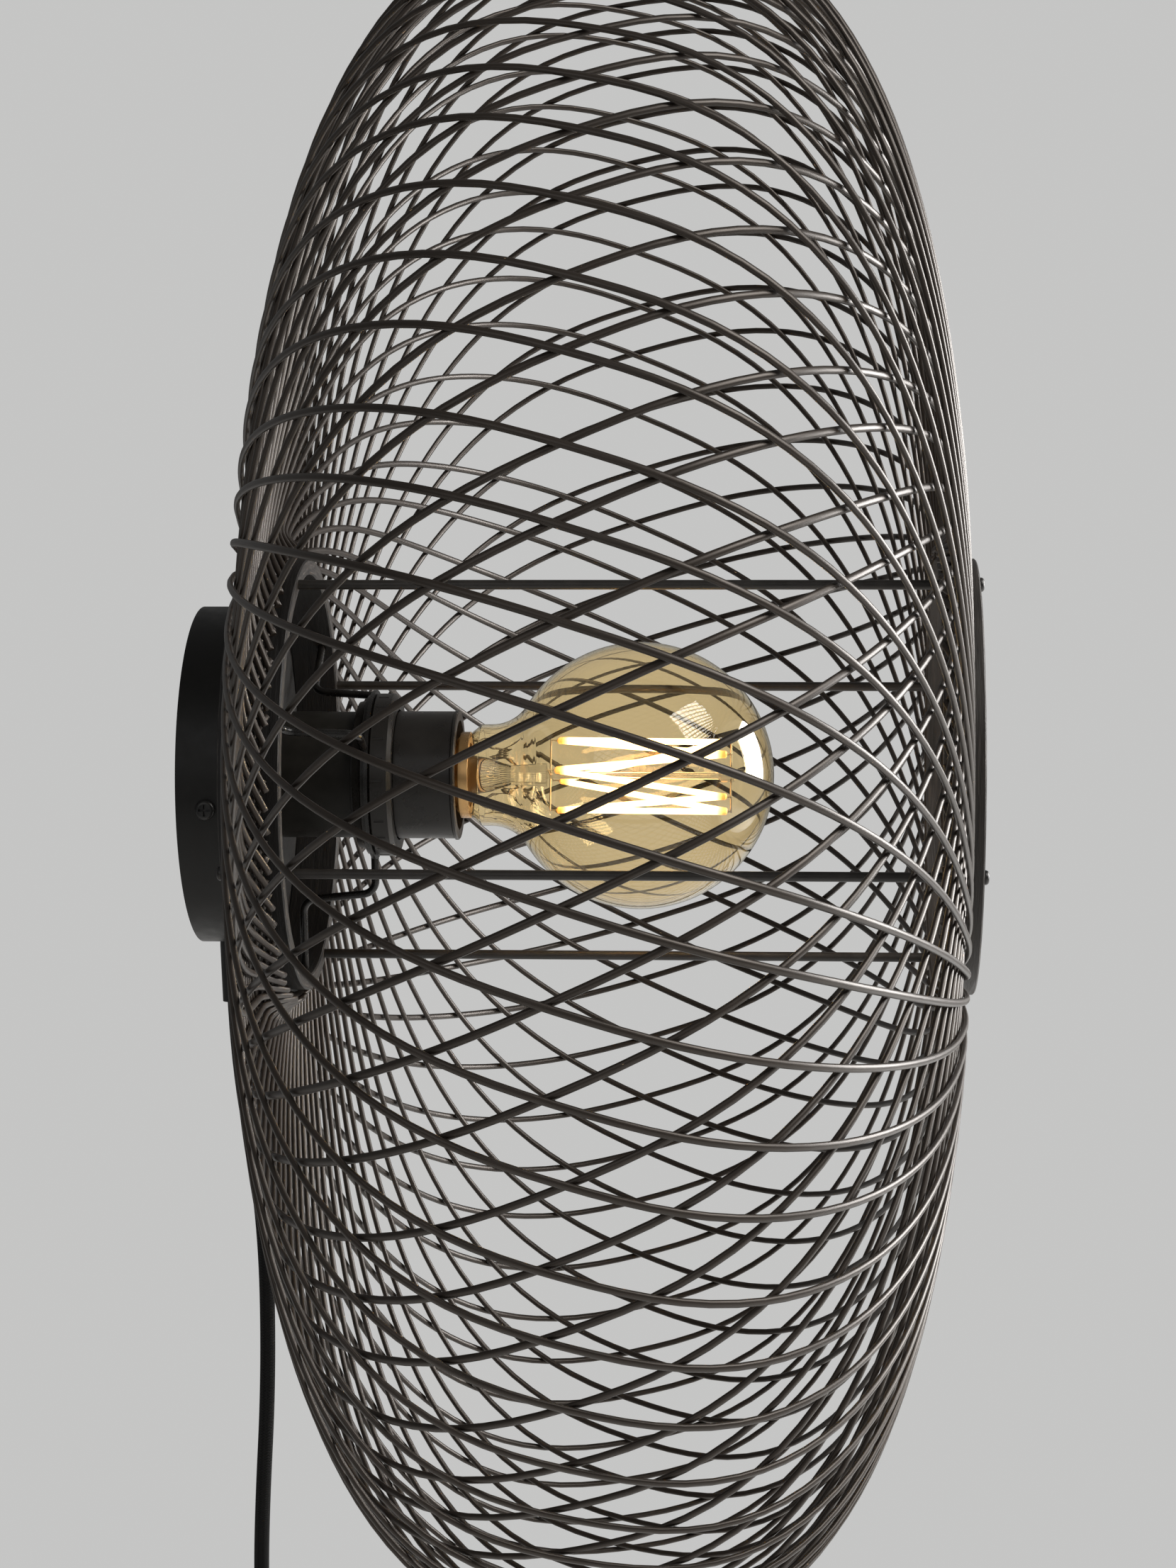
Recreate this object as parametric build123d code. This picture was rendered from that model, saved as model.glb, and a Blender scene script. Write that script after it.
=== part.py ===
"""Bamboo wall lamp: a flat round shade of crossing bamboo strands on a canopy lampholder.

Millimetres. The wall is the plane Y = 0, the lamp stands out along -Y and +Z is up.
A distance called d is measured from the wall, so d = 25 is the plane Y = -25.
The lamp's axis is the line X = Z = 0, and the origin is where that axis meets the wall.
"""

import math
import os

from build123d import *

os.makedirs("parts", exist_ok=True)

# Fits
SLIP = 0.15
RUN = 0.3
LAY = 0.03

# Canopy and wall bracket
CANOPY_R = 60.0
CANOPY_DEPTH = 25.0
CANOPY_WALL = 1.2
CANOPY_EDGE_R = 4.0
BRACKET_LONG = 2 * CANOPY_R - 8.0
BRACKET_HIGH = 30.0
BRACKET_THICK = 1.5
TAB_X = CANOPY_R - 3.1
TAB_WIDE = 13.0
TAB_DEEP = 16.0
SLOT_APART = 70.0
SLOT_LONG = 12.0
SLOT_WIDE = 4.5
SIDE_SCREW_D = 10.3
SIDE_SCREW_Z = 7.7
SIDE_SCREW_R = 1.9
SIDE_HEAD_R = 3.4
SIDE_HEAD_HIGH = 2.0
SIDE_SCREW_LONG = 8.0

# Threaded tube that joins canopy and lampholder
NIPPLE_R = 4.9
NIPPLE_BORE_R = 3.5
NIPPLE_FROM = 16.0
NIPPLE_TO = 34.0
NUT_FLATS = 14.0
NUT_THICK = 4.5
WASHER_R = 9.5
WASHER_THICK = 1.0

# Terminal block and leads
BLOCK_X = 20.0
BLOCK_D = 11.0
BLOCK_Z = 18.0
BLOCK_NEAR_D = 3.0
BLOCK_MID_Z = -22.0
POLE_X = 5.0
LEAD_R = 1.2
POLE_HOLE_R = 1.6
POLE_SCREW_R = 1.7

# Lampholder
SLEEVE_R = 22.5
SLEEVE_WALL = 1.0
SLEEVE_TO = 55.0
SLEEVE_EDGE_R = 3.0
THREAD_R = 23.0
THREAD_ROOT_R = 22.2
THREAD_PITCH = 2.5
THREAD_TO = 70.0
SKIRT_R = 22.7
SKIRT_LIP_R = 23.2
SKIRT_BORE_R = 19.5
SKIRT_TO = 91.5
BASE_FROM = 44.0
BASE_TO = 60.0
SHELL_R = 14.8
SHELL_BORE_R = 14.1
SHELL_TO = 88.0
COLLAR_R = 28.4
COLLAR_FROM = 56.0
COLLAR_TO = 60.6
SPIDER_RING_R = 30.2
SPIDER_RING_THICK = 1.3
WIRE_R = 1.4
WIRE_ANGLES = (37.0, 157.0, 277.0)
WIRE_KNEE_R = 43.5
WIRE_HEEL_R = 46.2
WIRE_HOOP_D = 34.0
WIRE_BEND_R = 5.0
WIRE_SEAT = 4.0
SHADE_RING_R = 29.0
SHADE_RING_TO = 69.8
SHADE_RING_RIBS = 24

# Shade
SHADE_R = 297.0
SHADE_MID_D = 149.05
SHADE_HALF_BACK = 123.35
SHADE_HALF_FRONT = 120.2
SHADE_R_POWER = 0.732
SHADE_D_POWER = 0.785
STRANDS = 72
STRAND_WIDE = 2.0
STRAND_THICK = 2.0
LAYER_GAP = 0.3
STRAND_HUB_C = 70.0
STRAND_RIM_C_OUTER = 90.0
STRAND_RIM_C_INNER = 126.0
STRAND_PHASE_OUTER = 1.5
STRAND_PHASE_INNER = 3.7
STRAND_SPANS = 16
LINE_STEPS = 1600
HUB_BACK_D = 26.0
HUB_FRONT_D = 265.9
HUB_FLAT_R = 90.0
HUB_BACK_DIVE = 8.5
HUB_FRONT_DIVE = 5.4
HUB_DIVE_POWER = 2.5
HUB_CLOSER = 1.2
HOOP_R = 77.0
HOOP_BORE_R = 71.4
BACK_HOOP_DEEP = 16.0
FRONT_HOOP_DEEP = 6.2
BACK_HOOP_TO = HUB_BACK_D + 12.3
FRONT_HOOP_FROM = HUB_FRONT_D - 6.1
STRAND_TIP_R = HOOP_R + 2.4
BACK_RING_THICK = 5.0
FRONT_RING_THICK = 7.8
ROD_R = 1.7
ROD_PITCH_R = 74.0
ROD_ANGLES = (22.6, 112.6, 202.6, 292.6)
ROD_SCREW_R = 1.2
ROD_SCREW_GRIP = 8.0
ROD_HEAD_R = 2.5
ROD_HEAD_HIGH = 1.5

# Bulb
GLOBE_R = 47.5
GLOBE_MID_D = 156.0
GLASS_WALL = 1.0
NECK_R = 18.1
NECK_FILLET = 15.0
GLASS_FROM = 95.5
CAP_R = 13.2
CAP_ROOT_R = 12.5
CAP_COLLAR_R = 15.4
CAP_FROM = 72.0
CAP_THREAD_TO = 90.0
CAP_TO = 97.0
CAP_PITCH = 3.6
CONTACT_R = 4.8
CONTACT_FROM = 64.6
CONTACT_TO = 66.8
FILAMENT_R = 1.1
FILAMENT_FROM = GLOBE_MID_D - 29.5
FILAMENT_TO = GLOBE_MID_D + 30.8
FILAMENT_BACK_R = 12.6
FILAMENT_FRONT_R = 14.0
FILAMENT_BACK_ANGLES = (77.0, 167.0, 257.0, 347.0)
FILAMENT_FRONT_ANGLES = (56.0, 143.0, 207.0, 290.0)
FILAMENT_APART = 1.4
HOOK_R = 0.3
HOOK_CLEAR = 0.25
LEAD_BEHIND = 2.6
HOOK_BEYOND = 1.4
STEM_ROD_R = 1.3
BUTTON_R = 2.2

# Cord, switch, coil and plug
CORD_R = 2.75
CORD_D = 17.5
GRIP_D = 9.0
GRIP_R = 4.4
GRIP_FLANGE_R = 6.0
GRIP_OUT = 22.0
GRIP_TIP_R = 3.6
CORD_START_Z = 12.0 - CANOPY_R
CORD_POINTS = (
    (GRIP_D, CORD_START_Z),
    (GRIP_D, -CANOPY_R - 36.0),
    (19.6, -155.0),
    (21.0, -215.0),
    (CORD_D, -276.0),
)
SWITCH_TOP_Z = -300.0
SWITCH_LONG = 56.0
SWITCH_WIDE = 25.0
SWITCH_BACK = 8.5
SWITCH_FRONT = 8.0
SWITCH_WALL = 2.0
ROCKER_LONG = 17.0
ROCKER_WIDE = 10.0
ROCKER_PIVOT = 4.2
ROCKER_TILT = 8.0
CORD_GRIPPED = 9.0
COIL_STEP = 3.25
COIL_INNER_R = 22.0
COIL_HALF_TURNS_IN = 7
COIL_HALF_TURNS_OUT = 6
COIL_LAYER = 7.3
COIL_LEAD_RUN = 21.0
TAIL_RUN = 56.0
PLUG_LONG = 34.0
PLUG_WIDE = 35.0
PLUG_THICK = 13.6
PIN_APART = 18.6
PIN_R = 2.0
PIN_LONG = 19.0
TIE_WIDE = 12.0
TIE_THICK = 1.5


def at(r, d, angle):
    """The point r from the lamp's axis and d from the wall, at an angle from +X towards +Z."""
    a = math.radians(angle)
    return Vector(r * math.cos(a), -d, r * math.sin(a))


def turned(*points):
    """A solid of revolution about the lamp's axis from a closed outline of (r, d) points."""
    outline = Polyline(*[(r, -d) for r, d in points], close=True)
    return revolve(make_face(outline), Axis.Y)


def round_bar(start, end, radius):
    """A cylinder from one point to another."""
    way = Vector(end) - Vector(start)
    return Solid.make_cylinder(radius, way.length, Plane(origin=start, z_dir=way))


def block(x0, x1, d0, d1, z0, z1):
    """A box between two values each of X, d and Z."""
    size = Vector(x1 - x0, d1 - d0, z1 - z0)
    middle = Vector((x0 + x1) / 2, -(d0 + d1) / 2, (z0 + z1) / 2)
    return Pos(middle) * Box(size.X, size.Y, size.Z)


def save(name, shape, small_file=False):
    solids = shape.solids() if not isinstance(shape, list) else [s for p in shape for s in p.solids()]
    export_step(Compound(solids), f"parts/{name}.step", write_pcurves=not small_file)
    print(name, len(solids), "solids", round(sum(s.volume for s in solids)), "mm3")


def cross_recess(head_top, way, size, depth):
    """A cross slot cut into a screw head, as a shape to take away."""
    where = Plane(origin=head_top, z_dir=way)
    bars = Box(size, size / 5, 2 * depth) + Box(size / 5, size, 2 * depth)
    return where * bars


# Wall bracket: a slotted strip with one tab at each end for the canopy's side screws
strip = block(-BRACKET_LONG / 2, BRACKET_LONG / 2, 0, BRACKET_THICK, -BRACKET_HIGH / 2, BRACKET_HIGH / 2)
strip = fillet(strip.edges().filter_by(Axis.Y), 4.0)
for side in (-1, 1):
    where = Plane(origin=(side * SLOT_APART / 2, 0, 0), x_dir=(1, 0, 0), z_dir=(0, -1, 0))
    slot = where * SlotOverall(SLOT_LONG, SLOT_WIDE)
    strip -= extrude(slot, 2 * BRACKET_THICK, both=True)
bracket = strip
for side in (-1, 1):
    z = side * SIDE_SCREW_Z
    tab = block(TAB_X - BRACKET_THICK, TAB_X, 0, TAB_DEEP, z - TAB_WIDE / 2, z + TAB_WIDE / 2)
    foot = block(BRACKET_LONG / 2 - 6, TAB_X, 0, BRACKET_THICK, z - TAB_WIDE / 2, z + TAB_WIDE / 2)
    if side < 0:
        tab = tab.mirror(Plane.YZ)
        foot = foot.mirror(Plane.YZ)
    bracket = bracket + tab + foot
for side in (-1, 1):
    hole_at = Vector(side * (TAB_X - 5), -SIDE_SCREW_D, side * SIDE_SCREW_Z)
    bracket -= round_bar(hole_at, hole_at + Vector(side * 10, 0, 0), SIDE_SCREW_R + SLIP)
save("wall_bracket", bracket)

# Canopy: a painted steel cup with holes for the threaded tube, the side screws and the cord grip
canopy = turned((0, 0), (CANOPY_R, 0), (CANOPY_R, CANOPY_DEPTH), (0, CANOPY_DEPTH))
canopy = fillet(canopy.edges().group_by(Axis.Y)[0], CANOPY_EDGE_R)
inside_r = CANOPY_R - CANOPY_WALL
inside_d = CANOPY_DEPTH - CANOPY_WALL
hollow = turned((0, -1), (inside_r, -1), (inside_r, inside_d), (0, inside_d))
hollow = fillet(hollow.edges().group_by(Axis.Y)[0], CANOPY_EDGE_R - CANOPY_WALL)
canopy -= hollow
canopy -= round_bar((0, -inside_d + 5, 0), (0, -CANOPY_DEPTH - 5, 0), NIPPLE_R + SLIP)
for side in (-1, 1):
    hole_at = Vector(side * (TAB_X - 5), -SIDE_SCREW_D, side * SIDE_SCREW_Z)
    canopy -= round_bar(hole_at, hole_at + Vector(side * 15, 0, 0), SIDE_SCREW_R + SLIP)
canopy -= round_bar((0, -GRIP_D, -CANOPY_R - 5), (0, -GRIP_D, -CANOPY_R + 12), GRIP_R + SLIP)
save("canopy", canopy)

# Side screws: pan heads that bear on the canopy's wall
seat_x = math.sqrt(CANOPY_R**2 - (SIDE_SCREW_Z - SIDE_HEAD_R) ** 2) + LAY
side_screws = []
for side in (-1, 1):
    head_at = Vector(side * seat_x, -SIDE_SCREW_D, side * SIDE_SCREW_Z)
    way = Vector(side, 0, 0)
    head = round_bar(head_at, head_at + way * SIDE_HEAD_HIGH, SIDE_HEAD_R)
    head = fillet(head.edges().sort_by(Axis.X)[-1 if side > 0 else 0], 1.2)
    shank = round_bar(head_at - way * SIDE_SCREW_LONG, head_at + way * 0.5, SIDE_SCREW_R)
    screw = head + shank
    side_screws.append(screw - cross_recess(head_at + way * SIDE_HEAD_HIGH, way, 4.0, 1.1))
save("canopy_screws", side_screws)

# Threaded tube with a washer and nut inside the canopy and a nut inside the sleeve
nipple = round_bar((0, -NIPPLE_FROM, 0), (0, -NIPPLE_TO, 0), NIPPLE_R)
nipple = chamfer(nipple.edges(), 0.6)
nipple -= round_bar((0, 0, 0), (0, -NIPPLE_TO - 5, 0), NIPPLE_BORE_R)
save("threaded_tube", nipple)


def hex_nut(from_d):
    """A hex nut for the threaded tube, whose wall side is from_d from the wall."""
    where = Plane(origin=(0, -from_d, 0), z_dir=(0, -1, 0))
    outline = where * RegularPolygon(NUT_FLATS / 2, 6, major_radius=False)
    nut = extrude(outline, NUT_THICK)
    return nut - round_bar((0, 0, 0), (0, -NIPPLE_TO - 5, 0), NIPPLE_R + SLIP)


washer_d = inside_d - LAY - WASHER_THICK
sleeve_plate_d = CANOPY_DEPTH + LAY
save("canopy_nut", hex_nut(washer_d - LAY - NUT_THICK))
save("sleeve_nut", hex_nut(sleeve_plate_d + SLEEVE_WALL + LAY))
tube_clear_r = NIPPLE_R + SLIP
washer_to = washer_d + WASHER_THICK
save(
    "canopy_washer",
    turned((tube_clear_r, washer_d), (WASHER_R, washer_d), (WASHER_R, washer_to), (tube_clear_r, washer_to)),
)

# Terminal block with its four clamp screws, and the leads on both sides of it
block_low = BLOCK_MID_Z - BLOCK_Z / 2
block_high = BLOCK_MID_Z + BLOCK_Z / 2
block_far_d = BLOCK_NEAR_D + BLOCK_D
pole_d = BLOCK_NEAR_D + 5.0
terminal = block(-BLOCK_X / 2, BLOCK_X / 2, BLOCK_NEAR_D, block_far_d, block_low, block_high)
terminal = fillet(terminal.edges().filter_by(Axis.Y), 1.5)
terminal -= block(-0.8, 0.8, BLOCK_NEAR_D + 7, block_far_d + 1, block_low - 1, block_high + 1)
terminal_screws = []
for x in (-POLE_X, POLE_X):
    terminal -= round_bar((x, -pole_d, block_low - 1), (x, -pole_d, block_high + 1), POLE_HOLE_R)
    for z in (block_low + 4.5, block_high - 4.5):
        terminal -= round_bar((x, -pole_d, z), (x, -block_far_d - 1, z), POLE_SCREW_R + SLIP)
        tip_d = pole_d + LEAD_R + LAY
        screw = round_bar((x, -tip_d, z), (x, -block_far_d + 1.5, z), POLE_SCREW_R)
        slot = block(x - 2, x + 2, block_far_d - 2.4, block_far_d, z - 0.3, z + 0.3)
        terminal_screws.append(screw - slot)
save("terminal_block", terminal)
save("terminal_screws", terminal_screws)

lead_section_in = []
lead_section_out = []
for x in (-1, 1):
    low = Vector(x * POLE_X, -pole_d, BLOCK_MID_Z - 1)
    lead_section_in.append(round_bar((x * POLE_X, -pole_d, CORD_START_Z + 2), low, LEAD_R))
    route = FilletPolyline(
        (x * POLE_X, -pole_d, BLOCK_MID_Z + 1),
        (x * POLE_X, -pole_d, block_high + 3),
        (x * 1.7, -pole_d, 0),
        (x * 1.7, -BASE_FROM + 1, 0),
        radius=3.0,
    )
    lead = sweep(Plane(origin=route @ 0, z_dir=route % 0) * Circle(LEAD_R), route)
    lead_section_out.append(lead)
save("supply_leads", lead_section_in)
save("holder_leads", lead_section_out)

# Lampholder sleeve: a round cup that stands on the canopy
sleeve = turned((0, sleeve_plate_d), (SLEEVE_R, sleeve_plate_d), (SLEEVE_R, SLEEVE_TO), (0, SLEEVE_TO))
sleeve = fillet(sleeve.edges().group_by(Axis.Y)[-1], SLEEVE_EDGE_R)
sleeve_bore_r = SLEEVE_R - SLEEVE_WALL
sleeve_floor_d = sleeve_plate_d + SLEEVE_WALL
room_to = SLEEVE_TO + 1
room = turned((0, sleeve_floor_d), (sleeve_bore_r, sleeve_floor_d), (sleeve_bore_r, room_to), (0, room_to))
sleeve -= fillet(room.edges().group_by(Axis.Y)[-1], SLEEVE_EDGE_R - SLEEVE_WALL)
sleeve -= round_bar((0, -CANOPY_DEPTH + 5, 0), (0, -CANOPY_DEPTH - 10, 0), NIPPLE_R + SLIP)
save("holder_sleeve", sleeve)

# Lampholder base: a moulded insert inside the sleeve that carries the contacts
spigot_r = sleeve_bore_r - SLIP
base_front_r = SHELL_R + 3.0
base = turned(
    (0, BASE_FROM),
    (spigot_r, BASE_FROM),
    (spigot_r, 49.5),
    (base_front_r, 49.5),
    (base_front_r, BASE_TO),
    (0, BASE_TO),
)
for x in (-1, 1):
    hole_from = Vector(x * 1.7, -BASE_FROM + 5, 0)
    base -= round_bar(hole_from, hole_from + Vector(0, -11, 0), LEAD_R + SLIP)
save("holder_base", base)

# Screw shell with its rolled thread, and the sprung centre contact
shell_from = BASE_TO + LAY
shell_outline = [(SHELL_R, shell_from), (SHELL_R, SHELL_TO), (SHELL_BORE_R, SHELL_TO)]
shell_steps = int((SHELL_TO - 64.0) / CAP_PITCH)
for step in range(shell_steps):
    d = SHELL_TO - 1.0 - step * CAP_PITCH
    shell_outline += [(SHELL_BORE_R, d), (SHELL_BORE_R - 0.35, d - 0.9)]
    shell_outline += [(SHELL_BORE_R - 0.35, d - 1.8), (SHELL_BORE_R, d - 2.7)]
shell_outline += [(SHELL_BORE_R, shell_from + 0.8), (8.0, shell_from + 0.8), (8.0, shell_from)]
save("screw_shell", turned(*shell_outline))

contact_spring = block(-3.0, 3.0, BASE_TO + LAY, BASE_TO + 0.6, -6.0, 5.0)
spring_path = FilletPolyline(
    (0, -BASE_TO - 0.33, -5.0),
    (0, -CONTACT_FROM + RUN + 0.3, 2.0),
    (0, -CONTACT_FROM + RUN + 0.3, 6.0),
    radius=2.0,
)
spring_section = Plane(origin=spring_path @ 0, z_dir=spring_path % 0, x_dir=(1, 0, 0)) * Rectangle(6.0, 0.5)
contact_spring += sweep(spring_section, spring_path)
save("centre_contact", contact_spring)

# Lampholder skirt: threaded at the back for the two rings, plain at the front
spigot_to = SLEEVE_TO + LAY
skirt_outline = [(SKIRT_BORE_R, 50.0), (spigot_r, 50.0), (spigot_r, spigot_to), (THREAD_ROOT_R, spigot_to)]
ridges = int((THREAD_TO - spigot_to) / THREAD_PITCH)
for ridge in range(ridges):
    d = spigot_to + ridge * THREAD_PITCH
    skirt_outline += [(THREAD_ROOT_R, d + 0.4), (THREAD_R, d + 1.0)]
    skirt_outline += [(THREAD_R, d + 1.6), (THREAD_ROOT_R, d + 2.2)]
skirt_outline += [(THREAD_ROOT_R, THREAD_TO - 0.2), (SKIRT_R, THREAD_TO)]
skirt_outline += [(SKIRT_R, SKIRT_TO - 1.6), (SKIRT_LIP_R, SKIRT_TO - 1.2), (SKIRT_LIP_R, SKIRT_TO - 0.4)]
skirt_outline += [(SKIRT_LIP_R - 0.4, SKIRT_TO), (SKIRT_BORE_R, SKIRT_TO)]
save("lampholder_skirt", turned(*skirt_outline))

# Back collar and the turning shade ring, which clamp the spider's ring between them
ring_bore_r = THREAD_R + RUN
collar = turned(
    (ring_bore_r, COLLAR_FROM),
    (26.0, COLLAR_FROM),
    (26.6, COLLAR_TO - 2.0),
    (COLLAR_R, COLLAR_TO - 1.4),
    (COLLAR_R, COLLAR_TO),
    (ring_bore_r, COLLAR_TO),
)
save("back_collar", collar)

spider_from = COLLAR_TO + LAY
spider_to = spider_from + SPIDER_RING_THICK
ring_from = spider_to + 0.1
shade_ring = turned(
    (ring_bore_r, ring_from),
    (SHADE_RING_R - 0.6, ring_from),
    (SHADE_RING_R, ring_from + 0.6),
    (SHADE_RING_R, SHADE_RING_TO - 1.4),
    (SHADE_RING_R - 1.4, SHADE_RING_TO),
    (ring_bore_r, SHADE_RING_TO),
)
for k in range(SHADE_RING_RIBS):
    angle = 360 / SHADE_RING_RIBS * k
    groove_r = SHADE_RING_R + 0.35
    shade_ring -= round_bar(at(groove_r, ring_from + 1.4, angle), at(groove_r, ring_from + 5.0, angle), 0.7)
save("shade_ring", shade_ring)

# Spider: a steel ring with three welded wires that hold the shade's back hoop
wire_d = spider_from + SPIDER_RING_THICK - WIRE_R - 0.2
spider = turned(
    (ring_bore_r, spider_from),
    (SPIDER_RING_R, spider_from),
    (SPIDER_RING_R, spider_to),
    (ring_bore_r, spider_to),
)
for angle in WIRE_ANGLES:
    route = FilletPolyline(
        at(SPIDER_RING_R - 0.6, wire_d, angle),
        at(WIRE_KNEE_R, wire_d, angle),
        at(WIRE_HEEL_R, WIRE_HOOP_D, angle),
        at(HOOP_BORE_R + WIRE_SEAT, WIRE_HOOP_D, angle),
        radius=WIRE_BEND_R,
    )
    spider += sweep(Plane(origin=route @ 0, z_dir=route % 0) * Circle(WIRE_R), route)
save("shade_spider", spider)

# Hubs: at each end of the shade the strand tips lie round a hoop, which a flat ring closes
back_hoop_from = BACK_HOOP_TO - BACK_HOOP_DEEP
front_hoop_to = FRONT_HOOP_FROM + FRONT_HOOP_DEEP
back_ring_to = back_hoop_from - LAY
back_ring_from = back_ring_to - BACK_RING_THICK
front_ring_from = front_hoop_to + LAY
front_ring_to = front_ring_from + FRONT_RING_THICK


def hub_piece(from_d, to_d):
    """A wooden hoop or ring with softened edges and holes for the rod screws."""
    piece = turned((HOOP_BORE_R, from_d), (HOOP_R, from_d), (HOOP_R, to_d), (HOOP_BORE_R, to_d))
    piece = chamfer(piece.edges().filter_by(GeomType.CIRCLE), 0.5)
    for angle in ROD_ANGLES:
        through = round_bar(
            at(ROD_PITCH_R, from_d - 1, angle), at(ROD_PITCH_R, to_d + 1, angle), ROD_SCREW_R + SLIP
        )
        piece -= through
    return piece


back_hoop = hub_piece(back_hoop_from, BACK_HOOP_TO)
for angle in WIRE_ANGLES:
    seat = round_bar(
        at(HOOP_BORE_R - 5, WIRE_HOOP_D, angle),
        at(HOOP_BORE_R + WIRE_SEAT + 0.3, WIRE_HOOP_D, angle),
        WIRE_R + SLIP,
    )
    back_hoop -= seat
save("back_hoop", back_hoop)
save("front_hoop", hub_piece(FRONT_HOOP_FROM, front_hoop_to))
save("back_ring", hub_piece(back_ring_from, back_ring_to))
save("front_ring", hub_piece(front_ring_from, front_ring_to))

# Rods between the hoops, and the domed screws that pull each hub together
rods = []
front_screws = []
back_screws = []


def dome_screw(seat_d, tip_d, angle):
    """A domed screw whose head sits on seat_d and whose shank reaches tip_d."""
    way = at(0, 1, 0) if seat_d > tip_d else at(0, -1, 0)
    seat = at(ROD_PITCH_R, seat_d, angle) + way * LAY
    head = round_bar(seat, seat + way * ROD_HEAD_HIGH, ROD_HEAD_R)
    head = fillet(head.edges().sort_by(Axis.Y)[0 if seat_d > tip_d else -1], ROD_HEAD_HIGH - 0.3)
    screw = head + round_bar(at(ROD_PITCH_R, tip_d, angle), seat + way * 0.4, ROD_SCREW_R)
    return screw - cross_recess(seat + way * ROD_HEAD_HIGH, way, 2.4, 0.7)


for angle in ROD_ANGLES:
    rod_from = BACK_HOOP_TO + LAY
    rod_to = FRONT_HOOP_FROM - LAY
    rod = round_bar(at(ROD_PITCH_R, rod_from, angle), at(ROD_PITCH_R, rod_to, angle), ROD_R)
    for end, inward in ((rod_from, 1), (rod_to, -1)):
        hole_end = end + inward * (ROD_SCREW_GRIP + 1)
        rod -= round_bar(
            at(ROD_PITCH_R, end - inward, angle), at(ROD_PITCH_R, hole_end, angle), ROD_SCREW_R + SLIP / 3
        )
    rods.append(rod)
    front_screws.append(dome_screw(front_ring_to, rod_to - ROD_SCREW_GRIP, angle))
    back_screws.append(dome_screw(back_ring_from, rod_from + ROD_SCREW_GRIP, angle))
save("shade_rods", rods)
save("front_rod_screws", front_screws)
save("back_rod_screws", back_screws)


# Strands: one curve on the shade's surface, stepped round the axis, in an outer and an inner layer
def shade_point(t):
    """Radius and d of the shade's middle surface at the profile angle t."""
    c = math.cos(t)
    r = SHADE_R * math.sin(t) ** SHADE_R_POWER
    half_d = SHADE_HALF_BACK if c > 0 else -SHADE_HALF_FRONT
    return r, SHADE_MID_D - half_d * abs(c) ** SHADE_D_POWER


def shade_line():
    """Radius and d of the shade's middle surface in small steps, from the back hub to the front hub."""
    tip_t = math.asin((STRAND_TIP_R / SHADE_R) ** (1 / SHADE_R_POWER))
    line = []
    for i in range(LINE_STEPS + 1):
        r, d = shade_point(tip_t + (math.pi - 2 * tip_t) * i / LINE_STEPS)
        ease = 1 - min(1.0, max(0.0, (r - HUB_FLAT_R) / 60.0))
        dive = max(0.0, (HUB_FLAT_R - r) / (HUB_FLAT_R - STRAND_TIP_R)) ** HUB_DIVE_POWER
        back = i < LINE_STEPS / 2
        hub_d = HUB_BACK_D + HUB_BACK_DIVE * dive if back else HUB_FRONT_D - HUB_FRONT_DIVE * dive
        line.append((r, d + (hub_d - d) * ease**2))
    return line


def swept_angles(line, rim_c):
    """How far round the axis a strand has gone at each step of the line, for its lean at the rim."""
    angles = [0.0]
    for (r0, d0), (r, d) in zip(line, line[1:]):
        along = math.hypot(r - r0, d - d0)
        mid_r = (r + r0) / 2
        share = (mid_r - STRAND_TIP_R) / (SHADE_R - STRAND_TIP_R)
        lean = STRAND_HUB_C + (rim_c - STRAND_HUB_C) * max(0.0, share)
        angles.append(angles[-1] + along * math.tan(math.asin(lean / mid_r)) / mid_r)
    return angles


def station_steps(line, angles):
    """The steps of the line at which a strand gets a station, closer where it bends more and at the hubs."""
    spot = [Vector(r * math.cos(a), -d, r * math.sin(a)) for (r, d), a in zip(line, angles)]
    pace = [0.0, 0.0]
    for i in range(1, LINE_STEPS):
        before = spot[i] - spot[i - 1]
        after = spot[i + 1] - spot[i]
        turn = math.radians(before.get_angle(after))
        closer = 1 + HUB_CLOSER * max(0.0, 1 - (line[i][0] - STRAND_TIP_R) / HUB_FLAT_R)
        pace.append(pace[-1] + closer * math.sqrt(turn * after.length))
    goals = [pace[-1] * k / STRAND_SPANS for k in range(STRAND_SPANS + 1)]
    return [min(range(LINE_STEPS + 1), key=lambda j: abs(pace[j] - goal)) for goal in goals]


def strand_stations(line, picked, rim_c):
    """Radius, d, angle and outward normal (in r and d) of each station along one strand."""
    angles = swept_angles(line, rim_c)
    print("strand sweep", round(math.degrees(angles[-1]), 1), "degrees")
    stations = []
    for i in picked:
        low = line[max(i - 1, 0)]
        high = line[min(i + 1, LINE_STEPS)]
        length = math.hypot(high[0] - low[0], high[1] - low[1])
        normal = ((high[1] - low[1]) / length, (low[0] - high[0]) / length)
        stations.append((*line[i], angles[i] - angles[-1] / 2, normal))
    return stations


def flat_face(*corners):
    return Face(Wire.make_polygon(corners, close=True))


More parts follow.
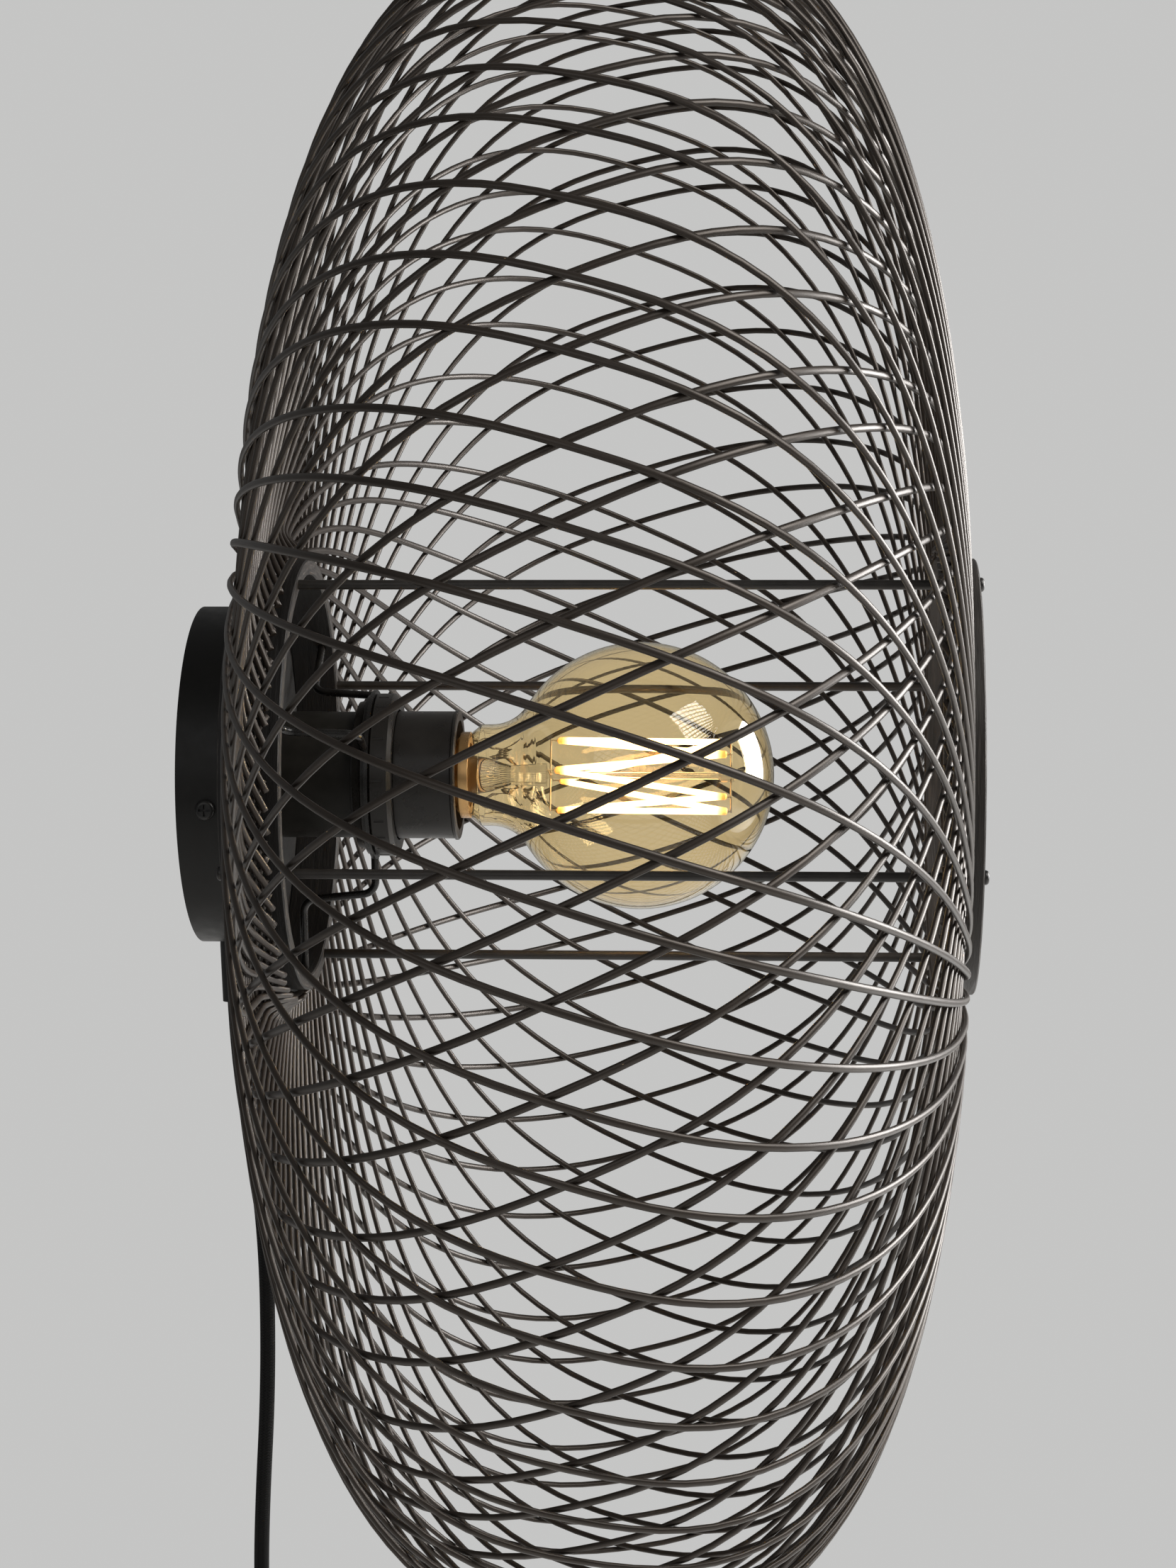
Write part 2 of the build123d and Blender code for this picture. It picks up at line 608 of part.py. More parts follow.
def strand(stations, offset, hand, phase):
    """One four-sided strand through the stations, moved offset along the surface's normal."""
    middles = []
    normals = []
    for r, d, angle, (n_r, n_d) in stations:
        a = hand * angle + math.radians(phase)
        out = Vector(math.cos(a), 0, math.sin(a))
        normals.append(out * n_r + Vector(0, -n_d, 0))
        middles.append(out * r + Vector(0, -d, 0) + normals[-1] * offset)
    sections = []
    for i, (middle, normal) in enumerate(zip(middles, normals)):
        ahead = (middles[min(i + 1, len(middles) - 1)] - middle).normalized() if i + 1 < len(middles) else Vector()
        behind = (middle - middles[i - 1]).normalized() if i else Vector()
        across = (ahead + behind).cross(normal).normalized() * (STRAND_WIDE / 2)
        up = normal * (STRAND_THICK / 2)
        sections.append([middle + across + up, middle - across + up, middle - across - up, middle + across - up])
    faces = [flat_face(*sections[0][:3]), flat_face(sections[0][0], *sections[0][2:])]
    faces += [flat_face(*sections[-1][:3]), flat_face(sections[-1][0], *sections[-1][2:])]
    for near, far in zip(sections, sections[1:]):
        for k in range(4):
            j = (k + 1) % 4
            if hand > 0:
                faces.append(flat_face(near[k], near[j], far[k]))
                faces.append(flat_face(near[j], far[j], far[k]))
            else:
                faces.append(flat_face(near[k], near[j], far[j]))
                faces.append(flat_face(near[k], far[j], far[k]))
    return Solid(Shell(faces))


layer_out = (STRAND_THICK + LAYER_GAP) / 2
surface = shade_line()
picked = station_steps(surface, swept_angles(surface, (STRAND_RIM_C_OUTER + STRAND_RIM_C_INNER) / 2))
families = (
    ("outer_strands", layer_out, 1, STRAND_RIM_C_OUTER, STRAND_PHASE_OUTER),
    ("inner_strands", -layer_out, -1, STRAND_RIM_C_INNER, STRAND_PHASE_INNER),
)
for name, offset, hand, rim_c, phase in families:
    pattern = strand(strand_stations(surface, picked, rim_c), offset, hand, phase)
    copies = [pattern.rotate(Axis.Y, 360 / STRANDS * k) for k in range(STRANDS)]
    save(name, copies, small_file=True)

# Bulb glass: a globe that runs into a neck
fillet_r = NECK_R + NECK_FILLET
fillet_drop = math.sqrt((GLOBE_R + NECK_FILLET) ** 2 - fillet_r**2)
fillet_d = GLOBE_MID_D - fillet_drop


def globe_outline(inset):
    """Outer glass outline moved inwards by inset, as edges from the neck to the globe's tip."""
    globe_r = GLOBE_R - inset
    bend_r = NECK_FILLET + inset
    slope = math.atan2(fillet_r, fillet_drop)
    bend_mid = (math.pi / 2 - slope) / 2
    join = (globe_r * math.sin(slope), -(GLOBE_MID_D - globe_r * math.cos(slope)))
    neck_top = (NECK_R - inset, -fillet_d)
    bend_half = (fillet_r - bend_r * math.cos(bend_mid), -(fillet_d + bend_r * math.sin(bend_mid)))
    rest = (math.pi - slope) / 2
    half_way = slope + rest - math.pi / 2
    globe_half = (globe_r * math.cos(half_way), -GLOBE_MID_D - globe_r * math.sin(half_way))
    tip = (0, -(GLOBE_MID_D + globe_r))
    return [
        Line((CAP_COLLAR_R - 0.6 - inset, -GLASS_FROM), (NECK_R - inset, -GLASS_FROM - 4.0)),
        Line((NECK_R - inset, -GLASS_FROM - 4.0), neck_top),
        ThreePointArc(neck_top, bend_half, join),
        ThreePointArc(join, globe_half, tip),
    ]


outer_edges = globe_outline(0)
inner_edges = globe_outline(GLASS_WALL)
glass_wire = Wire(
    outer_edges
    + [Line(outer_edges[-1] @ 1, inner_edges[-1] @ 1)]
    + inner_edges
    + [Line(inner_edges[0] @ 0, outer_edges[0] @ 0)]
)
save("bulb_glass", revolve(Face(glass_wire), Axis.Y))

# Bulb cap with its rolled thread, insulator and tip contact
cap_outline = [(CAP_ROOT_R - 1.0, CAP_FROM), (CAP_ROOT_R, CAP_FROM)]
for step in range(int((CAP_THREAD_TO - CAP_FROM) / CAP_PITCH)):
    d = CAP_FROM + 0.5 + step * CAP_PITCH
    cap_outline += [(CAP_ROOT_R, d), (CAP_R, d + 1.2), (CAP_R, d + 1.9), (CAP_ROOT_R, d + 3.1)]
cap_outline += [(CAP_ROOT_R, CAP_THREAD_TO + 0.6), (CAP_COLLAR_R, CAP_THREAD_TO + 2.2)]
cap_outline += [(CAP_COLLAR_R, GLASS_FROM - LAY), (CAP_ROOT_R - 1.0, GLASS_FROM - LAY)]
save("bulb_cap", turned(*cap_outline))
insulator_to = CAP_FROM - LAY
insulator = turned(
    (0, CONTACT_TO),
    (CONTACT_R + 1.4, CONTACT_TO),
    (CAP_ROOT_R - 0.4, insulator_to),
    (0, insulator_to),
)
save("bulb_insulator", insulator)
tip_contact = turned(
    (0, CONTACT_FROM),
    (CONTACT_R - 1.6, CONTACT_FROM),
    (CONTACT_R, CONTACT_FROM + 1.2),
    (CONTACT_R, CONTACT_TO - LAY),
    (0, CONTACT_TO - LAY),
)
save("bulb_contact", tip_contact)

# Glass stem, filaments and the wires that hang them
stem_top = FILAMENT_FROM - 4.0
stem = turned(
    (0, CAP_FROM + 1.0),
    (CAP_ROOT_R - 1.6, CAP_FROM + 1.0),
    (CAP_ROOT_R - 1.6, CAP_FROM + 3.0),
    (6.0, stem_top - 20.0),
    (3.4, stem_top - 12.0),
    (4.2, stem_top - 3.0),
    (4.2, stem_top),
    (STEM_ROD_R, stem_top),
    (STEM_ROD_R, FILAMENT_TO - 3.0),
    (BUTTON_R, FILAMENT_TO - 2.0),
    (BUTTON_R, FILAMENT_TO + HOOK_BEYOND + 1.0),
    (0, FILAMENT_TO + HOOK_BEYOND + 2.0),
)
save("bulb_stem", stem)

# Eight filaments zigzag round the stem: back wire, front wire, and the side along X at each end
zigzag = (
    (0, 0, 1, -1),
    (0, 1, -1, 1),
    (1, 1, 1, -1),
    (1, 2, -1, -1),
    (2, 2, -1, 1),
    (2, 3, 1, -1),
    (3, 3, -1, 1),
    (3, 0, 1, 1),
)
filaments = []
for back, front, back_side, front_side in zigzag:
    low = at(FILAMENT_BACK_R, FILAMENT_FROM, FILAMENT_BACK_ANGLES[back])
    high = at(FILAMENT_FRONT_R, FILAMENT_TO, FILAMENT_FRONT_ANGLES[front])
    aside = Vector(FILAMENT_APART, 0, 0)
    bar = round_bar(low + aside * back_side, high + aside * front_side, FILAMENT_R)
    filaments.append(chamfer(bar.edges().filter_by(GeomType.CIRCLE), 0.4 * FILAMENT_R))


def filament_wire(from_r, to_r, arm_d, end_d, angle):
    """A wire that goes out from the stem, turns along it, and ends in a bar beside two filament ends."""
    bend = at(to_r, arm_d, angle)
    end = at(to_r, end_d, angle)
    reach = Vector(FILAMENT_APART + 0.5 * FILAMENT_R, 0, 0)
    arm = round_bar(at(from_r, arm_d, angle), at(to_r + 1.5 * HOOK_R, arm_d, angle), HOOK_R)
    return arm + round_bar(bend, end, 0.8 * HOOK_R) + round_bar(end - reach, end + reach, HOOK_R)


low_end = FILAMENT_FROM - HOOK_CLEAR - HOOK_R
high_end = FILAMENT_TO + HOOK_CLEAR + HOOK_R
low_wires = [
    filament_wire(STEM_ROD_R + LAY, FILAMENT_BACK_R, FILAMENT_FROM - LEAD_BEHIND, low_end, angle)
    for angle in FILAMENT_BACK_ANGLES
]
high_wires = [
    filament_wire(BUTTON_R + LAY, FILAMENT_FRONT_R, FILAMENT_TO + HOOK_BEYOND, high_end, angle)
    for angle in FILAMENT_FRONT_ANGLES
]
save("bulb_filaments", filaments)
save("filament_leads", low_wires)
save("filament_hooks", high_wires)

# Cord grip in the canopy's wall
grip_top = -CANOPY_R + 5.0
grip_low = -CANOPY_R - GRIP_OUT
grip = round_bar((0, -GRIP_D, grip_top), (0, -GRIP_D, -CANOPY_R - 2.0), GRIP_R)
grip += round_bar((0, -GRIP_D, grip_top), (0, -GRIP_D, grip_top + 2.0), GRIP_FLANGE_R)
taper = Plane(origin=(0, -GRIP_D, -CANOPY_R - 2.0), z_dir=(0, 0, -1))
grip += Solid.make_cone(GRIP_R, GRIP_TIP_R, GRIP_OUT - 2.0, taper)
grip -= round_bar((0, -GRIP_D, grip_top + 5), (0, -GRIP_D, grip_low - 5), CORD_R + RUN)
save("cord_grip", grip)


def tube(route, name):
    """The cord along a route of straight runs and arcs, with its volume compared with section times length."""
    shape = sweep(Plane(origin=route @ 0, z_dir=route % 0) * Circle(CORD_R), route)
    expected = math.pi * CORD_R**2 * route.length
    print(name, "length", round(route.length, 1), "volume ratio", round(shape.volume / expected, 4))
    return shape


def bend_radii(points):
    """The largest even bend at each corner of a route."""
    radii = []
    for a, b, c in zip(points, points[1:], points[2:]):
        half = (b - a).get_angle(c - b) / 2
        run = min((b - a).length, (c - b).length)
        radii.append(min(0.45 * run / math.tan(math.radians(half)), 400.0))
    print("bend radii", [round(r, 1) for r in radii])
    return radii


# Hanging cord from the grip to the switch
switch_low_z = SWITCH_TOP_Z - SWITCH_LONG
hang = [Vector(0, -d, z) for d, z in CORD_POINTS] + [Vector(0, -CORD_D, SWITCH_TOP_Z - CORD_GRIPPED)]
cord_route = FilletPolyline(*hang, radius=bend_radii(hang))
save("cord_hanging", tube(cord_route, "hanging cord"))

# Cord from the switch down to the coil
coil_outer_r = COIL_INNER_R + COIL_STEP * COIL_HALF_TURNS_IN
lead_low_z = switch_low_z - COIL_LEAD_RUN
coil_z = lead_low_z - coil_outer_r - COIL_LEAD_RUN
drop = [
    Vector(0, -CORD_D, switch_low_z + CORD_GRIPPED),
    Vector(0, -CORD_D, lead_low_z),
    Vector(coil_outer_r, -CORD_D, lead_low_z - coil_outer_r),
    Vector(coil_outer_r, -CORD_D, coil_z),
]
drop_route = FilletPolyline(*drop, radius=bend_radii(drop))


def biarc(start, start_way, end, end_way):
    """Two arcs that leave start along start_way and reach end along end_way."""
    chord = end - start
    ways = start_way + end_way
    a = 2 * (1 - start_way.dot(end_way))
    b = 2 * chord.dot(ways)
    reach = (-b + math.sqrt(b * b + 4 * a * chord.dot(chord))) / (2 * a)
    joint = (start + end + (start_way - end_way) * reach) * 0.5
    first = TangentArc(start, joint, tangent=start_way)
    return [first, TangentArc(joint, end, tangent=first % 1)]


def coil_route():
    """The coil's centreline: in on the front layer, over to the wall side at the middle, and out again."""
    edges = []
    x = coil_outer_r
    d = CORD_D
    sign = 1
    for _ in range(COIL_HALF_TURNS_IN):
        next_x = -sign * (abs(x) - COIL_STEP)
        edges.append(TangentArc((x, -d, coil_z), (next_x, -d, coil_z), tangent=(0, 0, -sign)))
        x = next_x
        sign = -sign
    back_d = CORD_D - COIL_LAYER
    half = Vector(0, -(d + back_d) / 2, coil_z - sign * abs(x))
    slope = Vector(-sign, COIL_LAYER / (math.pi * abs(x)) * 1.3, 0).normalized()
    up = Vector(0, 0, -sign)
    edges += biarc(Vector(x, -d, coil_z), up, half, slope)
    edges += biarc(half, slope, Vector(-x, -back_d, coil_z), up * -1)
    x = -x
    sign = -sign
    for _ in range(COIL_HALF_TURNS_OUT):
        next_x = -sign * (abs(x) + COIL_STEP)
        edges.append(TangentArc((x, -back_d, coil_z), (next_x, -back_d, coil_z), tangent=(0, 0, -sign)))
        x = next_x
        sign = -sign
    tail_from = Vector(x, -back_d, coil_z)
    tail_to = tail_from + Vector(0, 0, -TAIL_RUN)
    return Wire(list(drop_route.edges()) + edges + [Line(tail_from, tail_to)]), tail_to


coil_wire, tail_end = coil_route()
save("cord_coil", tube(coil_wire, "coiled cord"))
samples = 1500
spots = [coil_wire.position_at(i / samples) for i in range(samples + 1)]
spacing = coil_wire.length / samples
apart = int(6 * CORD_R / spacing)
least = min(
    (spots[i] - spots[j]).length
    for i in range(0, samples + 1, 2)
    for j in range(i + apart, samples + 1, 2)
)
print("least gap of the coil to itself", round(least - 2 * CORD_R, 2))
print("cord length", round(cord_route.length + coil_wire.length + SWITCH_LONG - 4 * CORD_GRIPPED / 2, 0))

# Tie round the top of the coil
tie_low = coil_z + COIL_INNER_R - CORD_R - 2.2
tie_high = coil_z + coil_outer_r + CORD_R - 0.6
tie_near = CORD_D - COIL_LAYER - CORD_R - SLIP
tie_far = CORD_D + CORD_R + SLIP
tie_half = TIE_WIDE / 2
tie_from = tie_near - TIE_THICK
tie_to = tie_far + TIE_THICK
tie = block(-tie_half, tie_half, tie_from, tie_to, tie_low - TIE_THICK, tie_high + TIE_THICK)
tie = fillet(tie.edges().filter_by(Axis.X), 4.0)
gap = block(-TIE_WIDE, TIE_WIDE, tie_near, tie_far, tie_low, tie_high)
tie -= fillet(gap.edges().filter_by(Axis.X), 2.5)
save("coil_tie", tie)

# Switch on the cord: two half shells and a rocker
switch_mid_z = SWITCH_TOP_Z - SWITCH_LONG / 2
split_d = CORD_D
back_d = split_d - SWITCH_BACK
front_d = split_d + SWITCH_FRONT


def switch_half(from_d, to_d, outside):
    """One half shell with the cord's channel at both ends."""
    half = block(-SWITCH_WIDE / 2, SWITCH_WIDE / 2, from_d, to_d, switch_low_z, SWITCH_TOP_Z)
    half = fillet(half.edges().filter_by(Axis.Y), 9.0)
    half = fillet(half.edges().group_by(Axis.Y)[outside], 2.5)
    half -= round_bar((0, -CORD_D, SWITCH_TOP_Z + 5), (0, -CORD_D, switch_low_z - 5), CORD_R + RUN)
    return half


inner_x = SWITCH_WIDE / 2 - SWITCH_WALL
inner_z = ROCKER_LONG / 2 + 5.0
base_half = switch_half(back_d, split_d - LAY, -1)
inner_low = switch_mid_z - inner_z
inner_high = switch_mid_z + inner_z
base_half -= block(-inner_x, inner_x, back_d + SWITCH_WALL, front_d, inner_low, inner_high)
cover_half = switch_half(split_d, front_d, 0)
cover_half -= block(-inner_x, inner_x, back_d, front_d - SWITCH_WALL, inner_low, inner_high)
window_x = ROCKER_WIDE / 2 + RUN
window_z = ROCKER_LONG / 2 + 1.2
cover_half -= block(-window_x, window_x, back_d, front_d + 1, switch_mid_z - window_z, switch_mid_z + window_z)
save("switch_base", base_half)
pivot_d = split_d + ROCKER_PIVOT
pin_hole_r = 1.2 + RUN
for side in (-1, 1):
    lug_x = side * (window_x + 2.2)
    lug = block(lug_x - 1, lug_x + 1, split_d + 0.5, front_d - 1, switch_mid_z - 3, switch_mid_z + 3)
    cover_half += lug
bore_ends = window_x + 2.5
cover_half -= round_bar((-bore_ends, -pivot_d, switch_mid_z), (bore_ends, -pivot_d, switch_mid_z), pin_hole_r)
save("switch_cover", cover_half)

rise = math.tan(math.radians(ROCKER_TILT)) * ROCKER_LONG / 2
rocker_top = front_d + 0.8
outline = Polyline(
    (0, -rocker_top, switch_mid_z),
    (0, -rocker_top - rise, switch_mid_z + ROCKER_LONG / 2),
    (0, -pivot_d + 1.5, switch_mid_z + ROCKER_LONG / 2),
    (0, -pivot_d + 3.0, switch_mid_z + 3.0),
    (0, -pivot_d + 3.0, switch_mid_z - 3.0),
    (0, -pivot_d + 1.5, switch_mid_z - ROCKER_LONG / 2),
    (0, -rocker_top - rise, switch_mid_z - ROCKER_LONG / 2),
    close=True,
)
rocker = extrude(Face(Wire(outline.edges())), ROCKER_WIDE / 2, dir=(1, 0, 0), both=True)
rocker += round_bar((-window_x - 2, -pivot_d, switch_mid_z), (window_x + 2, -pivot_d, switch_mid_z), 1.2)
pivot_axis = Axis((0, -pivot_d, switch_mid_z), (1, 0, 0))
save("switch_rocker", rocker.rotate(pivot_axis, ROCKER_TILT))

# Plug on the end of the cord
plug_top = tail_end.Z + CORD_GRIPPED
plug_x = tail_end.X
plug_d = -tail_end.Y
plug_low = plug_top - PLUG_LONG
plug_outline = Plane(origin=(plug_x, -plug_d, 0), x_dir=(1, 0, 0), z_dir=(0, -1, 0)) * make_face(
    Polyline(
        (-6.0, plug_top),
        (6.0, plug_top),
        (PLUG_WIDE / 2, plug_top - 16.0),
        (PLUG_WIDE / 2, plug_low),
        (-PLUG_WIDE / 2, plug_low),
        (-PLUG_WIDE / 2, plug_top - 16.0),
        close=True,
    )
)
plug = extrude(plug_outline, PLUG_THICK / 2, both=True)
plug = fillet(plug.edges().filter_by(Axis.Y), 3.0)
plug = fillet(plug.edges().filter_by(lambda e: abs(e.center().Y + plug_d) > PLUG_THICK / 2 - 0.01), 2.0)
plug -= round_bar((plug_x, -plug_d, plug_top + 5), (plug_x, -plug_d, plug_top - CORD_GRIPPED - 1), CORD_R + RUN)
pins = []
for side in (-1, 1):
    pin_top = Vector(plug_x + side * PIN_APART / 2, -plug_d, plug_low + 8.0)
    pin = round_bar(pin_top, pin_top - Vector(0, 0, 8.0 + PIN_LONG), PIN_R)
    pin = fillet(pin.edges().group_by(Axis.Z)[0], 1.2)
    plug -= round_bar(pin_top + Vector(0, 0, 0.2), pin_top - Vector(0, 0, 20.0), PIN_R + SLIP)
    pins.append(pin)
save("plug_body", plug)
save("plug_pins", pins)
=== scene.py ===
"""Looks of the bamboo wall lamp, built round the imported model. Metres, same frame as the CAD:
the wall is Y = 0, the lamp stands out along -Y and +Z is up. d is the distance from the wall."""

import math
import random

import bpy
from mathutils import Matrix, Vector


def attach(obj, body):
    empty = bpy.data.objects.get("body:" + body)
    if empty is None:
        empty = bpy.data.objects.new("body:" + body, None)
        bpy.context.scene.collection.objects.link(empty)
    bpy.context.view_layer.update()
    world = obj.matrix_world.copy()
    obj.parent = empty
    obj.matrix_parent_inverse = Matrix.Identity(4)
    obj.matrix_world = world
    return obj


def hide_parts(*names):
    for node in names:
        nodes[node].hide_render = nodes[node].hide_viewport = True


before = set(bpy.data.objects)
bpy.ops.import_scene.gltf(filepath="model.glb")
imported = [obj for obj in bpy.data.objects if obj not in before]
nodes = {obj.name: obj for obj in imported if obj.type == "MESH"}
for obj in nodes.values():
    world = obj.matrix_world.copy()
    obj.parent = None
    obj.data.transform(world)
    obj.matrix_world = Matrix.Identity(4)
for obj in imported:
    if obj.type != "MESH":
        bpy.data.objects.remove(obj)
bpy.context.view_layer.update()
scene = bpy.context.scene

# Camera: the photograph's place and direction
CAMERA_AT = Vector((-1.150, -0.2066, 0.0891))
CAMERA_YAW = math.radians(3.449)
CAMERA_PITCH = math.radians(-4.575)
CAMERA_ROLL = math.radians(-0.054)
CAMERA_LENS = 74.47
CAMERA_SENSOR = 36.0
CAMERA_CLIP = 0.01

ahead = Vector((
    math.cos(CAMERA_PITCH) * math.cos(CAMERA_YAW),
    math.cos(CAMERA_PITCH) * math.sin(CAMERA_YAW),
    math.sin(CAMERA_PITCH),
))
right = ahead.cross(Vector((0, 0, 1))).normalized()
above = right.cross(ahead)
right, above = (
    right * math.cos(CAMERA_ROLL) + above * math.sin(CAMERA_ROLL),
    above * math.cos(CAMERA_ROLL) - right * math.sin(CAMERA_ROLL),
)
camera = bpy.data.objects.new("camera", bpy.data.cameras.new("camera"))
camera.data.sensor_fit = "AUTO"
camera.data.sensor_width = CAMERA_SENSOR
camera.data.lens = CAMERA_LENS
camera.data.clip_start = CAMERA_CLIP
turn = Matrix((right, above, -ahead)).transposed().to_4x4()
camera.matrix_world = Matrix.Translation(CAMERA_AT) @ turn
scene.collection.objects.link(camera)
scene.camera = camera


# Mesh helpers
def tube_faces(first, rings, sides):
    """Faces of one closed stick whose rings of points start at first: quads, and a cap at each end."""
    made = []
    for i in range(rings - 1):
        for j in range(sides):
            a0 = first + i * sides + j
            a1 = first + i * sides + (j + 1) % sides
            made.append((a0, a1, a1 + sides, a0 + sides))
    last = first + (rings - 1) * sides
    made.append(tuple(first + j for j in reversed(range(sides))))
    made.append(tuple(last + j for j in range(sides)))
    return made


def mapped_mesh(name, points, faces, uv_name, uv_of, smooth):
    """A mesh with one UV map. uv_of gives a pair for each corner of a face; smooth is for the quads."""
    mesh = bpy.data.meshes.new(name)
    mesh.from_pydata(points, [], faces)
    mesh.polygons.foreach_set("use_smooth", [smooth and len(face) == 4 for face in faces])
    uv = mesh.uv_layers.new(name=uv_name)
    uv.data.foreach_set("uv", [value for face in faces for pair in uv_of(face) for value in pair])
    mesh.validate()
    return mesh


# Cord: its route's points from part.py, and one smooth spline through them
CORD_R = 0.00275
CORD_D = 0.0175
COIL_ENTRY_Z = -0.377
COIL_LAYER_STEP = 0.0073
COIL_BACK_D = CORD_D - COIL_LAYER_STEP
COIL_Z = -0.44275
COIL_OUTER_R = 0.04475
COIL_INNER_R = 0.022
COIL_TAIL_R = 0.0415
HALF_TURNS_IN = 7
HALF_TURNS_OUT = 6
HALF_TURN_STEPS = 7
TAIL_DROPS = (0.02, 0.056)

hang = [
    (0, 0.009, -0.048),
    (0, 0.009, -0.096),
    (0, 0.0196, -0.155),
    (0, 0.021, -0.215),
    (0, CORD_D, -0.276),
    (0, CORD_D, -0.309),
    (0, CORD_D, -0.347),
    (0, CORD_D, COIL_ENTRY_Z),
    (COIL_OUTER_R, CORD_D, COIL_ENTRY_Z - COIL_OUTER_R),
]


def coil_points():
    """The coil's turns: inwards on the front layer, over to the wall side, and outwards again."""
    made = []
    for k in range((HALF_TURNS_IN + 1 + HALF_TURNS_OUT) * HALF_TURN_STEPS + 1):
        halves = k / HALF_TURN_STEPS
        past_in = halves - HALF_TURNS_IN
        if past_in < 0:
            r = COIL_OUTER_R + (COIL_INNER_R - COIL_OUTER_R) * halves / HALF_TURNS_IN
            d = CORD_D
        elif past_in < 1:
            r = COIL_INNER_R
            d = CORD_D + (COIL_BACK_D - CORD_D) * past_in
        else:
            r = COIL_INNER_R + (COIL_TAIL_R - COIL_INNER_R) * (past_in - 1) / HALF_TURNS_OUT
            d = COIL_BACK_D
        a = math.pi * halves
        made.append((r * math.cos(a), d, COIL_Z - r * math.sin(a)))
    return made


tail = [(COIL_TAIL_R, COIL_BACK_D, COIL_Z - drop) for drop in TAIL_DROPS]
route = [Vector((x, -d, z)) for x, d, z in hang + coil_points() + tail]
flex = bpy.data.curves.new("cord", "CURVE")
flex.dimensions = "3D"
flex.bevel_depth = 1.0
flex.bevel_resolution = 5
flex.resolution_u = 12
flex.use_fill_caps = True
line = flex.splines.new("NURBS")
line.points.add(len(route) - 1)
for point, place in zip(line.points, route):
    point.co = (*place, 1.0)
    point.radius = CORD_R
line.order_u = 3
line.use_endpoint_u = True
cord = bpy.data.objects.new("cord", flex)
scene.collection.objects.link(cord)
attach(cord, "lamp")
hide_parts("cord_hanging", "cord_coil")

# Strap round the top of the coil: a woven band whose end lies over its start
STRAP_D = (0.00655, 0.02115)
STRAP_Z = (-0.42645, -0.3951)
STRAP_BEND_R = 0.00325
STRAP_BEND_STEPS = 6
STRAP_WIDE = 0.012
STRAP_THICK = 0.0013
STRAP_LAP = 0.016
STRAP_LIFT = 0.0015
STRAP_LIFT_SHARE = 0.3
STRAP_EDGE = 0.0004
STRAP_EDGE_SHARE = 0.6


def strap_path():
    """Points (d, z) and outward directions up the front, once round the loop and on over the start."""
    front_d = STRAP_D[1]
    low_z = STRAP_Z[0] + STRAP_BEND_R
    front_long = STRAP_Z[1] - STRAP_BEND_R - low_z
    forward = (1.0, 0.0)
    made = [(front_d, low_z + front_long * share, forward) for share in (0.1, 0.5, 0.9)]
    corners = ((1, 1, 0), (0, 1, 90), (0, 0, 180), (1, 0, 270))
    for d_end, z_end, from_angle in corners:
        middle_d = STRAP_D[d_end] + STRAP_BEND_R * (1 - 2 * d_end)
        middle_z = STRAP_Z[z_end] + STRAP_BEND_R * (1 - 2 * z_end)
        for step in range(STRAP_BEND_STEPS + 1):
            a = math.radians(from_angle + 90 * step / STRAP_BEND_STEPS)
            out = (math.cos(a), math.sin(a))
            made.append((middle_d + STRAP_BEND_R * out[0], middle_z + STRAP_BEND_R * out[1], out))
    for share in (0.2, 0.5, 0.8):
        lap_z = low_z + front_long * STRAP_LIFT_SHARE * share
        made.append((front_d + STRAP_LIFT * share, lap_z, forward))
    made.append((front_d + STRAP_LIFT, low_z + STRAP_LAP, forward))
    return made


def strap_mesh():
    """The band along its path, with softened edges; its UVs are metres along and across the tape."""
    half = STRAP_WIDE / 2
    flat = half - STRAP_EDGE
    section = [(-flat, -1), (flat, -1), (half, -STRAP_EDGE_SHARE), (half, STRAP_EDGE_SHARE)]
    section += [(flat, 1), (-flat, 1), (-half, STRAP_EDGE_SHARE), (-half, -STRAP_EDGE_SHARE)]
    sides = len(section)
    points = []
    runs = []
    path = strap_path()
    run = 0.0
    for i, (d, z, out) in enumerate(path):
        if i:
            run += math.hypot(d - path[i - 1][0], z - path[i - 1][1])
        for x, share in section:
            lift = share * STRAP_THICK / 2
            points.append((x, -(d + out[0] * lift), z + out[1] * lift))
        runs.append(run)

    def uv_of(face):
        return [(runs[v // sides], points[v][0]) for v in face]

    faces = tube_faces(0, len(path), sides)
    return mapped_mesh("coil_strap", points, faces, "weave", uv_of, smooth=False)


strap = bpy.data.objects.new("coil_strap", strap_mesh())
scene.collection.objects.link(strap)
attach(strap, "lamp")
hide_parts("coil_tie")

# Shade strands: the same surface and lean as the CAD, as smooth sticks a little wider than thick
SHADE_R = 0.297
SHADE_MID_D = 0.14905
SHADE_HALF_BACK = 0.12335
SHADE_HALF_FRONT = 0.1202
R_POWER = 0.732
D_POWER = 0.785
STRANDS = 72
STRAND_R = 0.0010
STRAND_R_SHARE = (0.972, 0.985)
STRAND_FLATNESS = 1.3
LAYER_OUT = 0.00115
HUB_C = 0.070
RIM_C_OUTER = 0.090
RIM_C_INNER = 0.126
PHASE_OUTER = math.radians(1.5)
PHASE_INNER = math.radians(3.7)
TIP_R = 0.0794
HUB_FLAT_R = 0.090
HUB_EASE = 0.060
HUB_BACK_DIVE = 0.0085
HUB_FRONT_DIVE = 0.0054
HUB_DIVE_POWER = 2.5
HUB_BACK_D = 0.026
HUB_FRONT_D = 0.2659
LINE_STEPS = 1600
STRAND_STATIONS = 120
STATION_CROWDING = 0.6
STRAND_SIDES = 10
STRAND_WANDER = math.radians(0.5)
SECOND_WANDER = 0.4
TIP_CUT = 0.9
SWELL = 0.015
SWELL_RATE = 31.0
